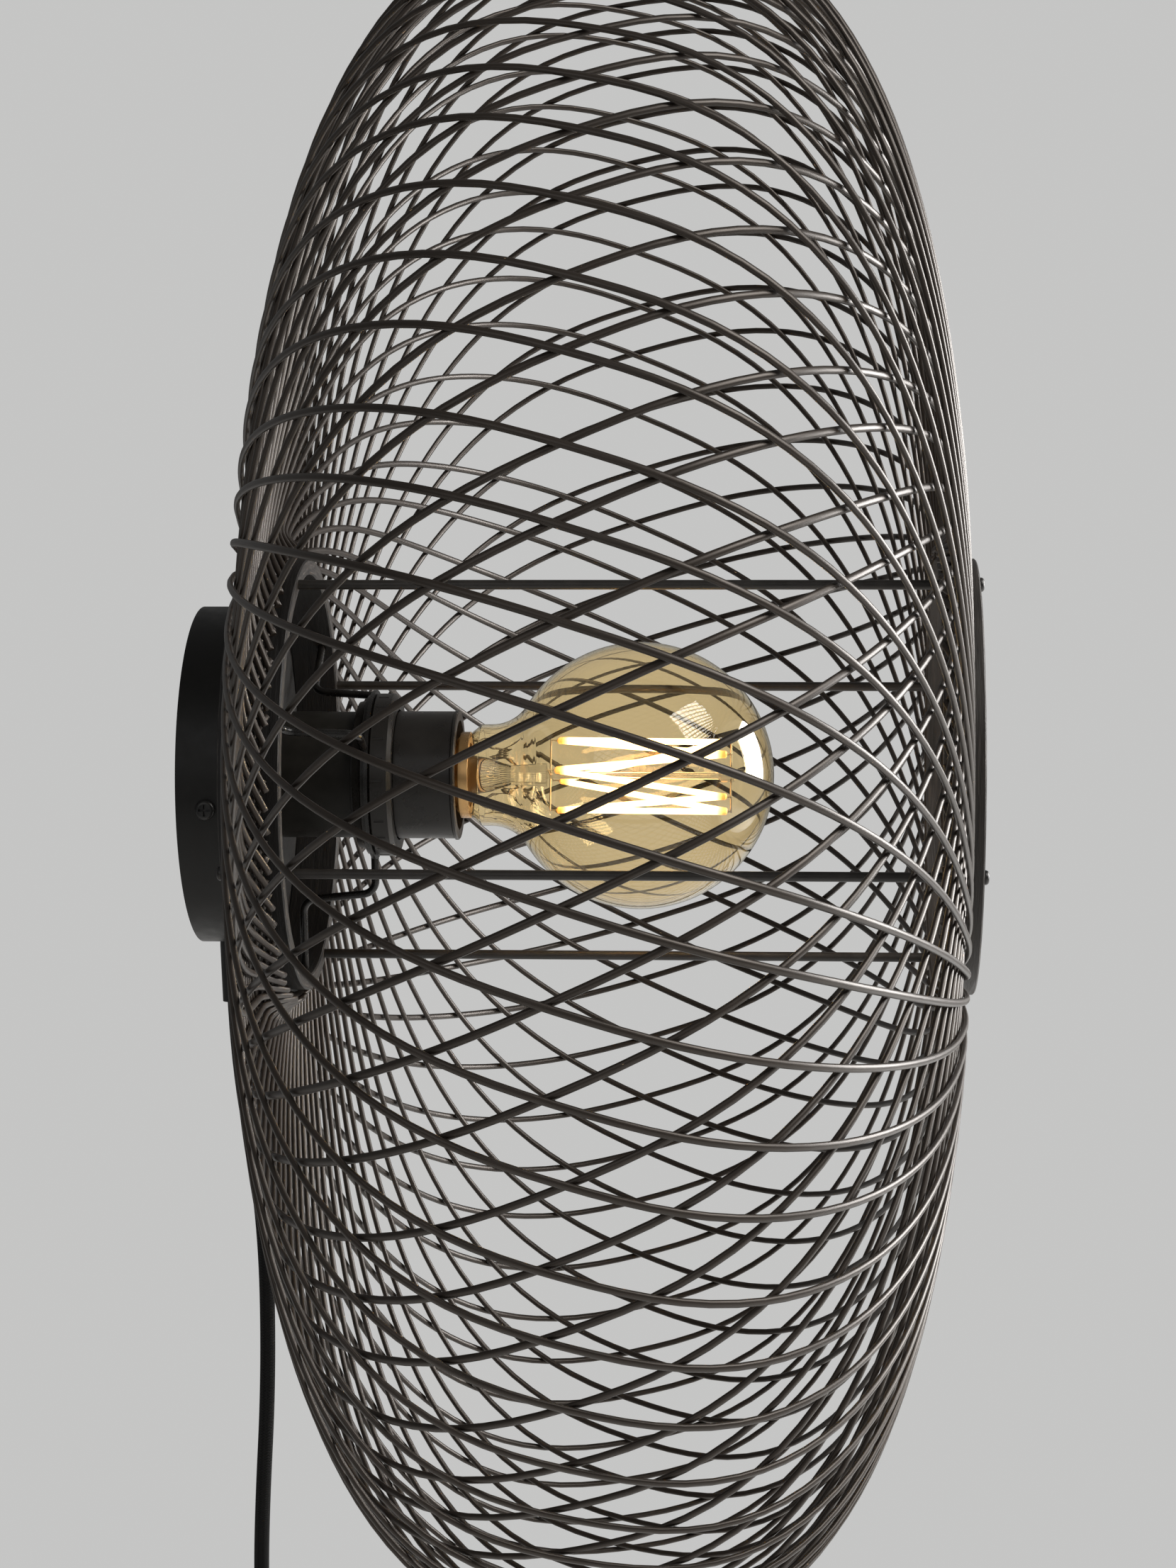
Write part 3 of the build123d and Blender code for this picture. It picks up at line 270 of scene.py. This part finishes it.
FIBRE_SHIFT = 50


def shade_line():
    """Radius and d of the shade's surface in small steps, with the tips turned in round the hubs."""
    tip_t = math.asin((TIP_R / SHADE_R) ** (1 / R_POWER))
    made = []
    for i in range(LINE_STEPS + 1):
        t = tip_t + (math.pi - 2 * tip_t) * i / LINE_STEPS
        c = math.cos(t)
        r = SHADE_R * math.sin(t) ** R_POWER
        half_d = SHADE_HALF_BACK if c > 0 else -SHADE_HALF_FRONT
        d = SHADE_MID_D - half_d * abs(c) ** D_POWER
        ease = 1 - min(1.0, max(0.0, (r - HUB_FLAT_R) / HUB_EASE))
        dive = max(0.0, (HUB_FLAT_R - r) / (HUB_FLAT_R - TIP_R)) ** HUB_DIVE_POWER
        back = i < LINE_STEPS / 2
        hub_d = HUB_BACK_D + HUB_BACK_DIVE * dive if back else HUB_FRONT_D - HUB_FRONT_DIVE * dive
        made.append((r, d + (hub_d - d) * ease**2))
    return made


def strand_stations(surface, rim_c):
    """Radius, d, angle and outward normal along one strand, closer together near its tips."""
    angles = [0.0]
    lengths = [0.0]
    for (r0, d0), (r, d) in zip(surface, surface[1:]):
        along = math.hypot(r - r0, d - d0)
        mid_r = (r + r0) / 2
        share = max(0.0, (mid_r - TIP_R) / (SHADE_R - TIP_R))
        lean = math.asin((HUB_C + (rim_c - HUB_C) * share) / mid_r)
        angles.append(angles[-1] + along * math.tan(lean) / mid_r)
        lengths.append(lengths[-1] + along / math.cos(lean))
    made = []
    i = 0
    for k in range(STRAND_STATIONS + 1):
        turn = 2 * math.pi * k / STRAND_STATIONS
        goal = lengths[-1] * (turn - STATION_CROWDING * math.sin(turn)) / (2 * math.pi)
        while i < LINE_STEPS and lengths[i] < goal:
            i += 1
        low = surface[max(i - 1, 0)]
        high = surface[min(i + 1, LINE_STEPS)]
        size = math.hypot(high[0] - low[0], high[1] - low[1])
        normal = ((high[1] - low[1]) / size, (low[0] - high[0]) / size)
        made.append((*surface[i], angles[i] - angles[-1] / 2, normal))
    return made


def strand_middles(stations, offset, hand, start, wander, second):
    """Middles and outward normals along one strand that strays a little to either side."""
    middles = []
    normals = []
    for i, (r, d, angle, (n_r, n_d)) in enumerate(stations):
        half_turn = math.pi * i / (len(stations) - 1)
        loose = wander * math.sin(half_turn) ** 2 + second * math.sin(2 * half_turn) ** 3
        a = hand * angle + start + loose
        out = Vector((math.cos(a), 0, math.sin(a)))
        normals.append(out * n_r + Vector((0, -n_d, 0)))
        middles.append(out * r + Vector((0, -d, 0)) + normals[-1] * offset)
    return middles, normals


def strand_rings(middles, normals, thick, run):
    """Points of the rings round one strand's middles, and the run of its fibres at each ring."""
    points = []
    runs = []
    for i, (middle, normal) in enumerate(zip(middles, normals)):
        way = middles[min(i + 1, len(middles) - 1)] - middles[max(i - 1, 0)]
        side = way.cross(normal).normalized()
        if i:
            run += (middle - middles[i - 1]).length
        swell = 1 - SWELL * (0.5 + 0.5 * math.sin(run * SWELL_RATE))
        for j in range(STRAND_SIDES):
            b = 2 * math.pi * j / STRAND_SIDES
            across = side * math.cos(b) * STRAND_FLATNESS
            points.append(middle + (across + normal * math.sin(b)) * thick * swell)
        runs.append(run)
    return points, runs


def strand_family(name, offset, hand, rim_c, phase, seed):
    """All strands of one layer as one mesh of closed sticks; the UVs are the run and the share round."""
    luck = random.Random(seed)
    stations = strand_stations(shade_line(), rim_c)
    points = []
    faces = []
    runs = []
    for k in range(STRANDS):
        start = phase + 2 * math.pi * k / STRANDS
        wander = luck.uniform(-1, 1) * STRAND_WANDER
        second = luck.uniform(-1, 1) * STRAND_WANDER * SECOND_WANDER
        thick = STRAND_R * luck.uniform(*STRAND_R_SHARE)
        first_run = luck.uniform(0, FIBRE_SHIFT)
        middles, normals = strand_middles(stations, offset, hand, start, wander, second)
        middles[0] = middles[0].lerp(middles[1], luck.uniform(0, TIP_CUT))
        middles[-1] = middles[-1].lerp(middles[-2], luck.uniform(0, TIP_CUT))
        faces += tube_faces(len(points), len(stations), STRAND_SIDES)
        ring_points, ring_runs = strand_rings(middles, normals, thick, first_run)
        points += ring_points
        runs += ring_runs

    def uv_of(face):
        sides = [v % STRAND_SIDES for v in face]
        wrap = len(face) == 4 and max(sides) - min(sides) > 1
        shares = [(STRAND_SIDES if wrap and side == 0 else side) / STRAND_SIDES for side in sides]
        return [(runs[v // STRAND_SIDES], share) for v, share in zip(face, shares)]

    piece = bpy.data.objects.new(name, mapped_mesh(name, points, faces, "along", uv_of, smooth=True))
    scene.collection.objects.link(piece)
    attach(piece, "lamp")
    return piece


outer_strands = strand_family("strands_outer", LAYER_OUT, 1, RIM_C_OUTER, PHASE_OUTER, seed=11)
inner_strands = strand_family("strands_inner", -LAYER_OUT, -1, RIM_C_INNER, PHASE_INNER, seed=12)
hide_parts("outer_strands")
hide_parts("inner_strands")

# Material helpers
NOISE_SPAN = (0.3, 0.7)
SPECKLE_CLOUD = 0.12


class Finish:
    """A node material with one Principled shader, whose constants are named by their sockets."""

    def __init__(self, name, **constants):
        self.material = bpy.data.materials.new(name)
        self.material.use_nodes = True
        self.tree = self.material.node_tree
        self.shader = self.tree.nodes["Principled BSDF"]
        self.bump_from = None
        for socket, value in constants.items():
            self.shader.inputs[socket.replace("_", " ")].default_value = value

    def node(self, kind, settings=None, **inputs):
        """A new node. An input is named by its socket, or by the letter i and its number."""
        made = self.tree.nodes.new(kind)
        for key, value in (settings or {}).items():
            setattr(made, key, value)
        for key, value in inputs.items():
            socket = made.inputs[int(key[1:]) if key[1:].isdigit() else key.replace("_", " ")]
            if isinstance(value, bpy.types.NodeSocket):
                self.tree.links.new(value, socket)
            else:
                socket.default_value = value
        return made

    def math(self, operation, a, b=0.0):
        return self.node("ShaderNodeMath", {"operation": operation}, i0=a, i1=b).outputs[0]

    def apart(self, vector):
        return self.node("ShaderNodeSeparateXYZ", Vector=vector).outputs

    def coords(self, scale=(1, 1, 1), source="Object"):
        where = self.node("ShaderNodeTexCoord").outputs[source]
        return self.node("ShaderNodeMapping", Vector=where, Scale=scale).outputs[0]

    def noise(self, where, scale, detail, rough, distort=0.0):
        inputs = {"Scale": scale, "Detail": detail, "Roughness": rough, "Distortion": distort}
        return self.node("ShaderNodeTexNoise", Vector=where, **inputs).outputs["Fac"]

    def ramp(self, fac, *stops):
        """Colour by fac, from stops of a place and a colour."""
        made = self.node("ShaderNodeValToRGB", Fac=fac)
        points = made.color_ramp.elements
        while len(points) < len(stops):
            points.new(0.5)
        for point, (place, colour) in zip(points, stops):
            point.position = place
            point.color = (*colour, 1.0)
        return made.outputs["Color"]

    def spread(self, fac, low, high, from_low=0.0, from_high=1.0):
        """The value fac, taken from one range to the range from low to high."""
        inputs = {"From_Min": from_low, "From_Max": from_high, "To_Min": low, "To_Max": high}
        return self.node("ShaderNodeMapRange", Value=fac, **inputs).outputs[0]

    def mix(self, fac, a, b):
        """Colour a where fac is 0, and b, a socket or a plain colour, where it is 1."""
        b = (*b, 1.0) if isinstance(b, tuple) else b
        return self.node("ShaderNodeMix", {"data_type": "RGBA"}, i0=fac, i6=a, i7=b).outputs[2]

    def set(self, socket, value):
        self.tree.links.new(value, self.shader.inputs[socket])

    def bump(self, height, strength, distance):
        """A bump on top of the ones before it."""
        made = self.node("ShaderNodeBump", Height=height, Strength=strength, Distance=distance)
        if self.bump_from:
            self.tree.links.new(self.bump_from, made.inputs["Normal"])
        self.bump_from = made.outputs[0]
        self.set("Normal", self.bump_from)


def speckled(name, dark, light, grain, rough, bump, depth, metallic=0.0, **constants):
    """A surface with fine mottling: two colours, a roughness range and a fine bump, all from noise."""
    f = Finish(name, Metallic=metallic, **constants)
    where = f.coords()
    cloud = f.noise(where, grain * SPECKLE_CLOUD, detail=5.0, rough=0.6)
    fine = f.noise(where, grain, detail=3.0, rough=0.6)
    f.set("Base Color", f.ramp(cloud, (0.3, dark), (0.72, light)))
    f.set("Roughness", f.spread(cloud, *rough, *NOISE_SPAN))
    f.bump(fine, bump, depth)
    return f.material


def dress(material, *names):
    """Give the CAD nodes of these names the material."""
    for name in names:
        slots = nodes[name].data.materials
        slots.clear()
        slots.append(material)


# Strands
def bamboo_finish():
    """Dark stained bamboo: fibres along the stick, satin lacquer, and rare pale nicks."""
    f = Finish("bamboo", Specular_IOR_Level=0.5, Specular_Tint=(1.0, 0.90, 0.82, 1.0))
    fibre = f.noise(f.coords((60, 14, 1), "UV"), 1.0, detail=5.0, rough=0.6)
    cloud = f.noise(f.coords((9, 1, 1), "UV"), 1.0, detail=3.0, rough=0.5)
    nick = f.noise(f.coords((240, 5, 1), "UV"), 1.0, detail=2.0, rough=0.5)
    wood = f.ramp(
        fibre,
        (0.3, (0.0088, 0.0062, 0.0044)),
        (0.62, (0.0122, 0.0086, 0.0062)),
        (0.8, (0.0175, 0.0122, 0.0087)),
    )
    wood = f.mix(f.spread(cloud, 0.0, 0.6, 0.45, 0.75), wood, (0.0170, 0.0120, 0.0088))
    bare = f.spread(nick, 0.0, 1.0, 0.765, 0.785)
    f.set("Base Color", f.mix(bare, wood, (0.40, 0.27, 0.15)))
    f.set("Roughness", f.spread(fibre, 0.37, 0.45, *NOISE_SPAN))
    f.bump(fibre, strength=0.06, distance=0.0001)
    return f.material


bamboo = bamboo_finish()
outer_strands.data.materials.append(bamboo)
inner_strands.data.materials.append(bamboo)
dress(bamboo, "outer_strands", "inner_strands")

# Hoops and rings
GRAIN_ROUND = 2.2
GRAIN_ACROSS = 420.0
LAYER_ROUND = 4.0
LAYER_ACROSS = 2.4


def hub_wood_finish(name, level):
    """Dark stained laminated wood: fine open grain, and rubbed layers on the flat end faces. level
    scales all colours as painted light or shade.
    """
    f = Finish(name, Specular_IOR_Level=0.3)
    spot = f.node("ShaderNodeTexCoord").outputs
    x, y, z = f.apart(spot["Object"])
    facing = f.math("ABSOLUTE", f.apart(spot["Normal"])[1])
    square = f.math("ADD", f.math("MULTIPLY", x, x), f.math("MULTIPLY", z, z))
    angle = f.math("MULTIPLY", f.math("ARCTAN2", z, x), GRAIN_ROUND)
    radius = f.math("MULTIPLY", f.math("SQRT", square), GRAIN_ACROSS)
    depth = f.math("MULTIPLY", y, GRAIN_ACROSS)
    where = f.node("ShaderNodeCombineXYZ", X=angle, Y=depth, Z=radius).outputs[0]
    grain = f.noise(where, 1.6, detail=6.0, rough=0.65, distort=0.4)
    pores = f.noise(where, 7.0, detail=2.0, rough=0.5)
    # level darkens or lightens these colours as painted shade or painted light
    dark = (0.010 * level, 0.0085 * level, 0.0073 * level)
    brown = (0.022 * level, 0.0188 * level, 0.0163 * level)
    pale = (0.048 * level, 0.040 * level, 0.034 * level)
    wood = f.ramp(grain, (0.30, dark), (0.56, brown), (0.80, pale))
    layer_angle = f.math("MULTIPLY", angle, LAYER_ROUND)
    layer_radius = f.math("MULTIPLY", radius, LAYER_ACROSS)
    layer_at = f.node("ShaderNodeCombineXYZ", X=layer_angle, Z=layer_radius).outputs[0]
    rubbed = f.ramp(
        f.noise(layer_at, 1.0, detail=4.0, rough=0.7),
        (0.42, (0.009, 0.0078, 0.0068)),
        (0.58, (0.045, 0.039, 0.034)),
        (0.72, (0.20, 0.185, 0.17)),
    )
    end_face = f.spread(facing, 0.0, 0.85, 0.55, 0.9)
    f.set("Base Color", f.mix(end_face, wood, rubbed))
    f.set("Roughness", f.spread(grain, 0.40, 0.62, *NOISE_SPAN))
    f.bump(f.math("ADD", grain, f.math("MULTIPLY", pores, 0.5)), strength=0.5, distance=0.0003)
    return f.material


# The back hoop and ring get a darkened copy of the wood as painted shade, and the front ones a lightened
# copy as painted light.
dress(hub_wood_finish("hub_wood_shaded", level=0.30), "back_hoop", "back_ring")
dress(hub_wood_finish("hub_wood_lit", level=1.15), "front_hoop", "front_ring")

# Cord's braid and strap's tape
BRAID_PITCH = 0.0009
BRAID_YARNS = 10.0
TAPE_ROW = 0.0011
TAPE_LINE = 0.0009


def length_of(points):
    return sum((b - a).length for a, b in zip(points, points[1:]))


def braid_finish():
    """Black textile braid: two sets of yarns that pass over and under each other round the cord, with
    painted shade in the grooves.
    """
    f = Finish("cord_textile", Specular_IOR_Level=0.15, Sheen_Weight=0.04, Sheen_Roughness=0.5)
    u, v, _ = f.apart(f.node("ShaderNodeTexCoord").outputs["UV"])
    # u runs evenly from point to point, so the hanging part and the coil get their own numbers of rows
    hang_share = (len(hang) - 1.5) / (len(route) - 2)
    hang_rows = length_of(route[: len(hang)]) / BRAID_PITCH
    coil_rows = length_of(route[len(hang) - 1 :]) / BRAID_PITCH
    hang_along = f.spread(u, 0.0, hang_rows, 0.0, hang_share)
    coil_along = f.spread(u, 0.0, coil_rows, hang_share, 1.0)
    along = f.math("ADD", hang_along, coil_along)
    round_share = f.math("MULTIPLY", v, BRAID_YARNS)
    one = f.math("ADD", round_share, along)
    two = f.math("SUBTRACT", round_share, along)
    yarn_one = f.math("ABSOLUTE", f.math("SINE", f.math("MULTIPLY", one, math.pi)))
    yarn_two = f.math("ABSOLUTE", f.math("SINE", f.math("MULTIPLY", two, math.pi)))
    crossing = f.math("ADD", f.math("FLOOR", one), f.math("FLOOR", two))
    one_above = f.math("ABSOLUTE", f.math("MODULO", crossing, 2.0))
    two_above = f.math("SUBTRACT", 1.0, one_above)
    height_one = f.math("MULTIPLY", yarn_one, one_above)
    height_two = f.math("MULTIPLY", yarn_two, two_above)
    height = f.math("ADD", height_one, height_two)
    fuzz = f.noise(f.coords(), 2600.0, detail=2.0, rough=0.6)
    # The colour follows the yarn height, darker down in the grooves as painted shade, with random fuzz
    # on top.
    groove_shade_and_fuzz = f.math("ADD", f.math("MULTIPLY", height, 0.75), f.math("MULTIPLY", fuzz, 0.25))
    dark = (0.0008, 0.0008, 0.0008)
    light = (0.0068, 0.0064, 0.0063)
    f.set("Base Color", f.ramp(groove_shade_and_fuzz, (0.15, dark), (0.9, light)))
    f.set("Roughness", f.spread(fuzz, 0.75, 0.95))
    f.bump(height, strength=0.6, distance=0.0003)
    f.bump(fuzz, strength=0.2, distance=0.0001)
    return f.material


def tape_finish():
    """Black woven tape: rows of yarn over and under along and across the strap, with painted shade where
    the weave dips.
    """
    f = Finish("tie_fabric", Specular_IOR_Level=0.25, Sheen_Weight=0.2, Sheen_Roughness=0.5)
    u, v, _ = f.apart(f.node("ShaderNodeTexCoord").outputs["UV"])
    rows = f.math("SINE", f.math("MULTIPLY", u, 2 * math.pi / TAPE_ROW))
    lines = f.math("SINE", f.math("MULTIPLY", v, 2 * math.pi / TAPE_LINE))
    weave = f.math("MULTIPLY", rows, lines)
    fuzz = f.noise(f.coords(), 2200.0, detail=2.0, rough=0.6)
    # The colour darkens where the weave dips as painted shade, with random fuzz on top.
    groove_shade_and_fuzz = f.math("ADD", f.spread(weave, 0.0, 0.7, -1.0, 1.0), f.math("MULTIPLY", fuzz, 0.3))
    dark = (0.005, 0.005, 0.005)
    light = (0.022, 0.0215, 0.021)
    f.set("Base Color", f.ramp(groove_shade_and_fuzz, (0.15, dark), (0.85, light)))
    f.set("Roughness", f.spread(fuzz, 0.75, 0.95))
    f.bump(weave, strength=0.5, distance=0.0002)
    return f.material


braid = braid_finish()
flex.materials.append(braid)
dress(braid, "cord_hanging", "cord_coil")
tape = tape_finish()
strap.data.materials.append(tape)
dress(tape, "coil_tie")


# Bulb: glass and filaments
def glass_finish(name, tint, deep):
    """Clear glass with a faint uneven tint."""
    f = Finish(name, Transmission_Weight=1.0, IOR=1.45)
    film = f.noise(f.coords(), 14.0, detail=3.0, rough=0.5)
    f.set("Base Color", f.ramp(film, (0.3, deep), (0.7, tint)))
    f.set("Roughness", f.spread(film, 0.0, 0.015, 0.4, 0.7))
    return f.material


def filament_finish():
    """A glowing filament: white-hot along its length, uneven like its phosphor, orange at the ends."""
    f = Finish("filament", Roughness=0.6)
    glow = f.noise(f.coords(), 380.0, detail=3.0, rough=0.6)
    along = f.apart(f.coords(source="Generated"))[1]
    from_middle = f.math("ABSOLUTE", f.math("SUBTRACT", along, 0.5))
    hot = f.spread(from_middle, 1.0, 0.0, 0.435, 0.475)
    strength = f.math("MULTIPLY", f.spread(hot, 1.0, 4.4), f.spread(glow, 0.9, 1.1, *NOISE_SPAN))
    f.set("Base Color", f.ramp(glow, (0.3, (0.9, 0.55, 0.2)), (0.7, (1.0, 0.7, 0.32))))
    f.set("Emission Color", f.ramp(hot, (0.0, (1.0, 0.36, 0.05)), (1.0, (1.0, 0.80, 0.46))))
    f.set("Emission Strength", strength)
    return f.material


dress(glass_finish("amber_glass", (0.985, 0.875, 0.645), (0.975, 0.845, 0.59)), "bulb_glass")
dress(glass_finish("stem_glass", (0.98, 0.98, 0.97), (0.96, 0.96, 0.95)), "bulb_stem")
dress(filament_finish(), "bulb_filaments")
nodes["bulb_glass"].visible_shadow = False
nodes["bulb_stem"].visible_shadow = False

# Painted, moulded and metal pieces
canopy_paint = speckled(
    "canopy_paint", dark=(0.0055, 0.0051, 0.0044), light=(0.0085, 0.0079, 0.0069),
    grain=1500, rough=(0.36, 0.48), bump=0.25, depth=0.0001, Specular_IOR_Level=0.22,
)
skirt_plastic = speckled(
    "skirt_plastic", dark=(0.0120, 0.0104, 0.0089), light=(0.0200, 0.0175, 0.0152),
    grain=900, rough=(0.24, 0.38), bump=0.1, depth=0.00005, Specular_IOR_Level=0.3,
)
sleeve_plastic = speckled(
    "sleeve_plastic", dark=(0.0115, 0.0103, 0.0083), light=(0.0185, 0.0166, 0.0136),
    grain=1200, rough=(0.34, 0.48), bump=0.2, depth=0.00007, Specular_IOR_Level=0.2,
)
zinc_steel = speckled(
    "zinc_steel", dark=(0.42, 0.43, 0.44), light=(0.62, 0.62, 0.61),
    grain=700, rough=(0.25, 0.5), bump=0.15, depth=0.00005, metallic=1.0,
)
black_screws = speckled(
    "black_screws", dark=(0.012, 0.012, 0.012), light=(0.035, 0.033, 0.031),
    grain=1800, rough=(0.25, 0.45), bump=0.15, depth=0.00004, metallic=0.6,
)
terminal_plastic = speckled(
    "terminal_plastic", dark=(0.62, 0.60, 0.55), light=(0.72, 0.70, 0.66),
    grain=700, rough=(0.35, 0.5), bump=0.1, depth=0.00005,
)
terminal_brass = speckled(
    "terminal_brass", dark=(0.50, 0.34, 0.13), light=(0.66, 0.47, 0.20),
    grain=900, rough=(0.25, 0.42), bump=0.1, depth=0.00004, metallic=1.0,
)
lead_insulation = speckled(
    "lead_insulation", dark=(0.16, 0.10, 0.06), light=(0.24, 0.15, 0.09),
    grain=900, rough=(0.4, 0.55), bump=0.1, depth=0.00004,
)
holder_plastic = speckled(
    "holder_plastic", dark=(0.55, 0.52, 0.46), light=(0.66, 0.63, 0.57),
    grain=500, rough=(0.3, 0.5), bump=0.1, depth=0.00005,
)
wire_black = speckled(
    "wire_black", dark=(0.005, 0.0045, 0.004), light=(0.011, 0.0098, 0.0085),
    grain=1300, rough=(0.2, 0.36), bump=0.12, depth=0.00005, Specular_IOR_Level=0.4,
)
rod_lacquer = speckled(
    "rod_lacquer", dark=(0.012, 0.0100, 0.0083), light=(0.023, 0.0193, 0.0161),
    grain=1300, rough=(0.3, 0.44), bump=0.12, depth=0.00005, Specular_IOR_Level=0.45,
)
cap_brass = speckled(
    "cap_brass", dark=(0.50, 0.28, 0.11), light=(0.68, 0.43, 0.19),
    grain=800, rough=(0.2, 0.4), bump=0.1, depth=0.00004, metallic=1.0,
)
cap_insulator = speckled(
    "cap_insulator", dark=(0.01, 0.01, 0.012), light=(0.02, 0.02, 0.024),
    grain=600, rough=(0.1, 0.25), bump=0.05, depth=0.00003,
)
solder = speckled(
    "solder", dark=(0.5, 0.5, 0.5), light=(0.68, 0.68, 0.66),
    grain=900, rough=(0.3, 0.5), bump=0.2, depth=0.00006, metallic=1.0,
)
filament_wire = speckled(
    "filament_wire", dark=(0.42, 0.36, 0.28), light=(0.6, 0.52, 0.4),
    grain=900, rough=(0.25, 0.4), bump=0.05, depth=0.00002, metallic=1.0,
)
cord_plastic = speckled(
    "cord_plastic", dark=(0.0045, 0.0045, 0.0046), light=(0.0085, 0.0085, 0.0085),
    grain=1600, rough=(0.42, 0.58), bump=0.3, depth=0.0001, Specular_IOR_Level=0.3,
)
rocker_plastic = speckled(
    "rocker_plastic", dark=(0.007, 0.007, 0.007), light=(0.012, 0.012, 0.012),
    grain=1200, rough=(0.28, 0.40), bump=0.1, depth=0.00005, Specular_IOR_Level=0.35,
)
pin_metal = speckled(
    "pin_metal", dark=(0.58, 0.57, 0.54), light=(0.74, 0.73, 0.70),
    grain=700, rough=(0.18, 0.34), bump=0.08, depth=0.00003, metallic=1.0,
)
dress(canopy_paint, "canopy")
dress(skirt_plastic, "lampholder_skirt", "back_collar", "shade_ring")
dress(sleeve_plastic, "holder_sleeve")
dress(zinc_steel, "wall_bracket", "threaded_tube", "canopy_nut", "sleeve_nut", "canopy_washer")
dress(black_screws, "canopy_screws", "front_rod_screws", "back_rod_screws")
dress(terminal_plastic, "terminal_block")
dress(terminal_brass, "terminal_screws", "screw_shell", "centre_contact")
dress(lead_insulation, "supply_leads", "holder_leads")
dress(holder_plastic, "holder_base")
dress(wire_black, "shade_spider")
dress(rod_lacquer, "shade_rods")
dress(cap_brass, "bulb_cap")
dress(cap_insulator, "bulb_insulator")
dress(solder, "bulb_contact")
dress(filament_wire, "filament_leads", "filament_hooks")
dress(cord_plastic, "cord_grip", "switch_base", "switch_cover", "plug_body")
dress(rocker_plastic, "switch_rocker")
dress(pin_metal, "plug_pins")

# Stage: pale floor and even surround, which the camera sees lighter than they light the lamp
FLOOR_Z = -0.56
FLOOR_HALF = 9
SURROUND_COLOUR = (1.0, 1.0, 0.99, 1.0)
SEEN_LEVEL = 0.56
LIGHT_LEVEL = 0.18


def floor_finish():
    """Pale matte floor that the camera and the glass see at the surround's own level."""
    f = Finish("floor", Specular_IOR_Level=0.0, Emission_Color=SURROUND_COLOUR)
    rays = f.node("ShaderNodeLightPath").outputs
    seen = f.math("MAXIMUM", rays["Is Camera Ray"], rays["Is Transmission Ray"])
    cloud = f.noise(f.coords(), 2.4, detail=5.0, rough=0.6)
    pale = f.ramp(cloud, (0.3, (0.78, 0.78, 0.77)), (0.72, (0.84, 0.84, 0.83)))
    f.set("Base Color", f.mix(seen, pale, (0.0, 0.0, 0.0)))
    f.set("Roughness", f.spread(cloud, 0.8, 0.9, *NOISE_SPAN))
    f.set("Emission Strength", f.math("MULTIPLY", seen, SEEN_LEVEL))
    return f.material


floor_mesh = bpy.data.meshes.new("floor")
corner_signs = ((-1, -1), (1, -1), (1, 1), (-1, 1))
floor_corners = [(FLOOR_HALF * x, FLOOR_HALF * y, FLOOR_Z) for x, y in corner_signs]
floor_mesh.from_pydata(floor_corners, [], [(0, 1, 2, 3)])
floor_mesh.materials.append(floor_finish())
floor = bpy.data.objects.new("floor", floor_mesh)
scene.collection.objects.link(floor)

surround = bpy.data.worlds.new("surround")
surround.use_nodes = True
tree = surround.node_tree
backdrop = tree.nodes["Background"]
backdrop.inputs["Color"].default_value = SURROUND_COLOUR
rays = tree.nodes.new("ShaderNodeLightPath")
seen = tree.nodes.new("ShaderNodeMath")
seen.operation = "MAXIMUM"
level = tree.nodes.new("ShaderNodeMapRange")
level.inputs["To Min"].default_value = LIGHT_LEVEL
level.inputs["To Max"].default_value = SEEN_LEVEL
tree.links.new(rays.outputs["Is Camera Ray"], seen.inputs[0])
tree.links.new(rays.outputs["Is Transmission Ray"], seen.inputs[1])
tree.links.new(seen.outputs[0], level.inputs["Value"])
tree.links.new(level.outputs[0], backdrop.inputs["Strength"])
scene.world = surround

# Lights: a key from the upper right, one from the far right, a weak fill and the bulb's own glow
LIT_POINT = Vector((0, -0.15, 0))
GLOBE_MIDDLE = (0, -0.157, 0)
GLOW_R = 0.02


def soft_light(name, place, size, power, colour):
    """A square light that faces the lamp."""
    lamp = bpy.data.lights.new(name, "AREA")
    lamp.shape = "SQUARE"
    lamp.size = size
    lamp.energy = power
    lamp.color = colour
    made = bpy.data.objects.new(name, lamp)
    made.location = place
    made.rotation_mode = "QUATERNION"
    made.rotation_quaternion = (LIT_POINT - Vector(place)).to_track_quat("-Z", "Y")
    scene.collection.objects.link(made)


soft_light("key", (-0.60, -1.60, 1.3), size=1.2, power=48.0, colour=(1.0, 0.985, 0.96))
soft_light("side", (0.75, -1.55, 0.25), size=0.8, power=40.0, colour=(1.0, 0.985, 0.97))
soft_light("fill", (-1.7, 0.5, 0.7), size=1.2, power=4.0, colour=(0.99, 0.99, 1.0))
glow = bpy.data.lights.new("bulb_glow", "POINT")
glow.energy = 0.25
glow.color = (1.0, 0.55, 0.2)
glow.shadow_soft_size = GLOW_R
glow_piece = bpy.data.objects.new("bulb_glow", glow)
glow_piece.location = GLOBE_MIDDLE
glow_piece.visible_camera = False
glow_piece.visible_transmission = False
glow_piece.visible_glossy = False
scene.collection.objects.link(glow_piece)

scene.view_settings.view_transform = "Standard"
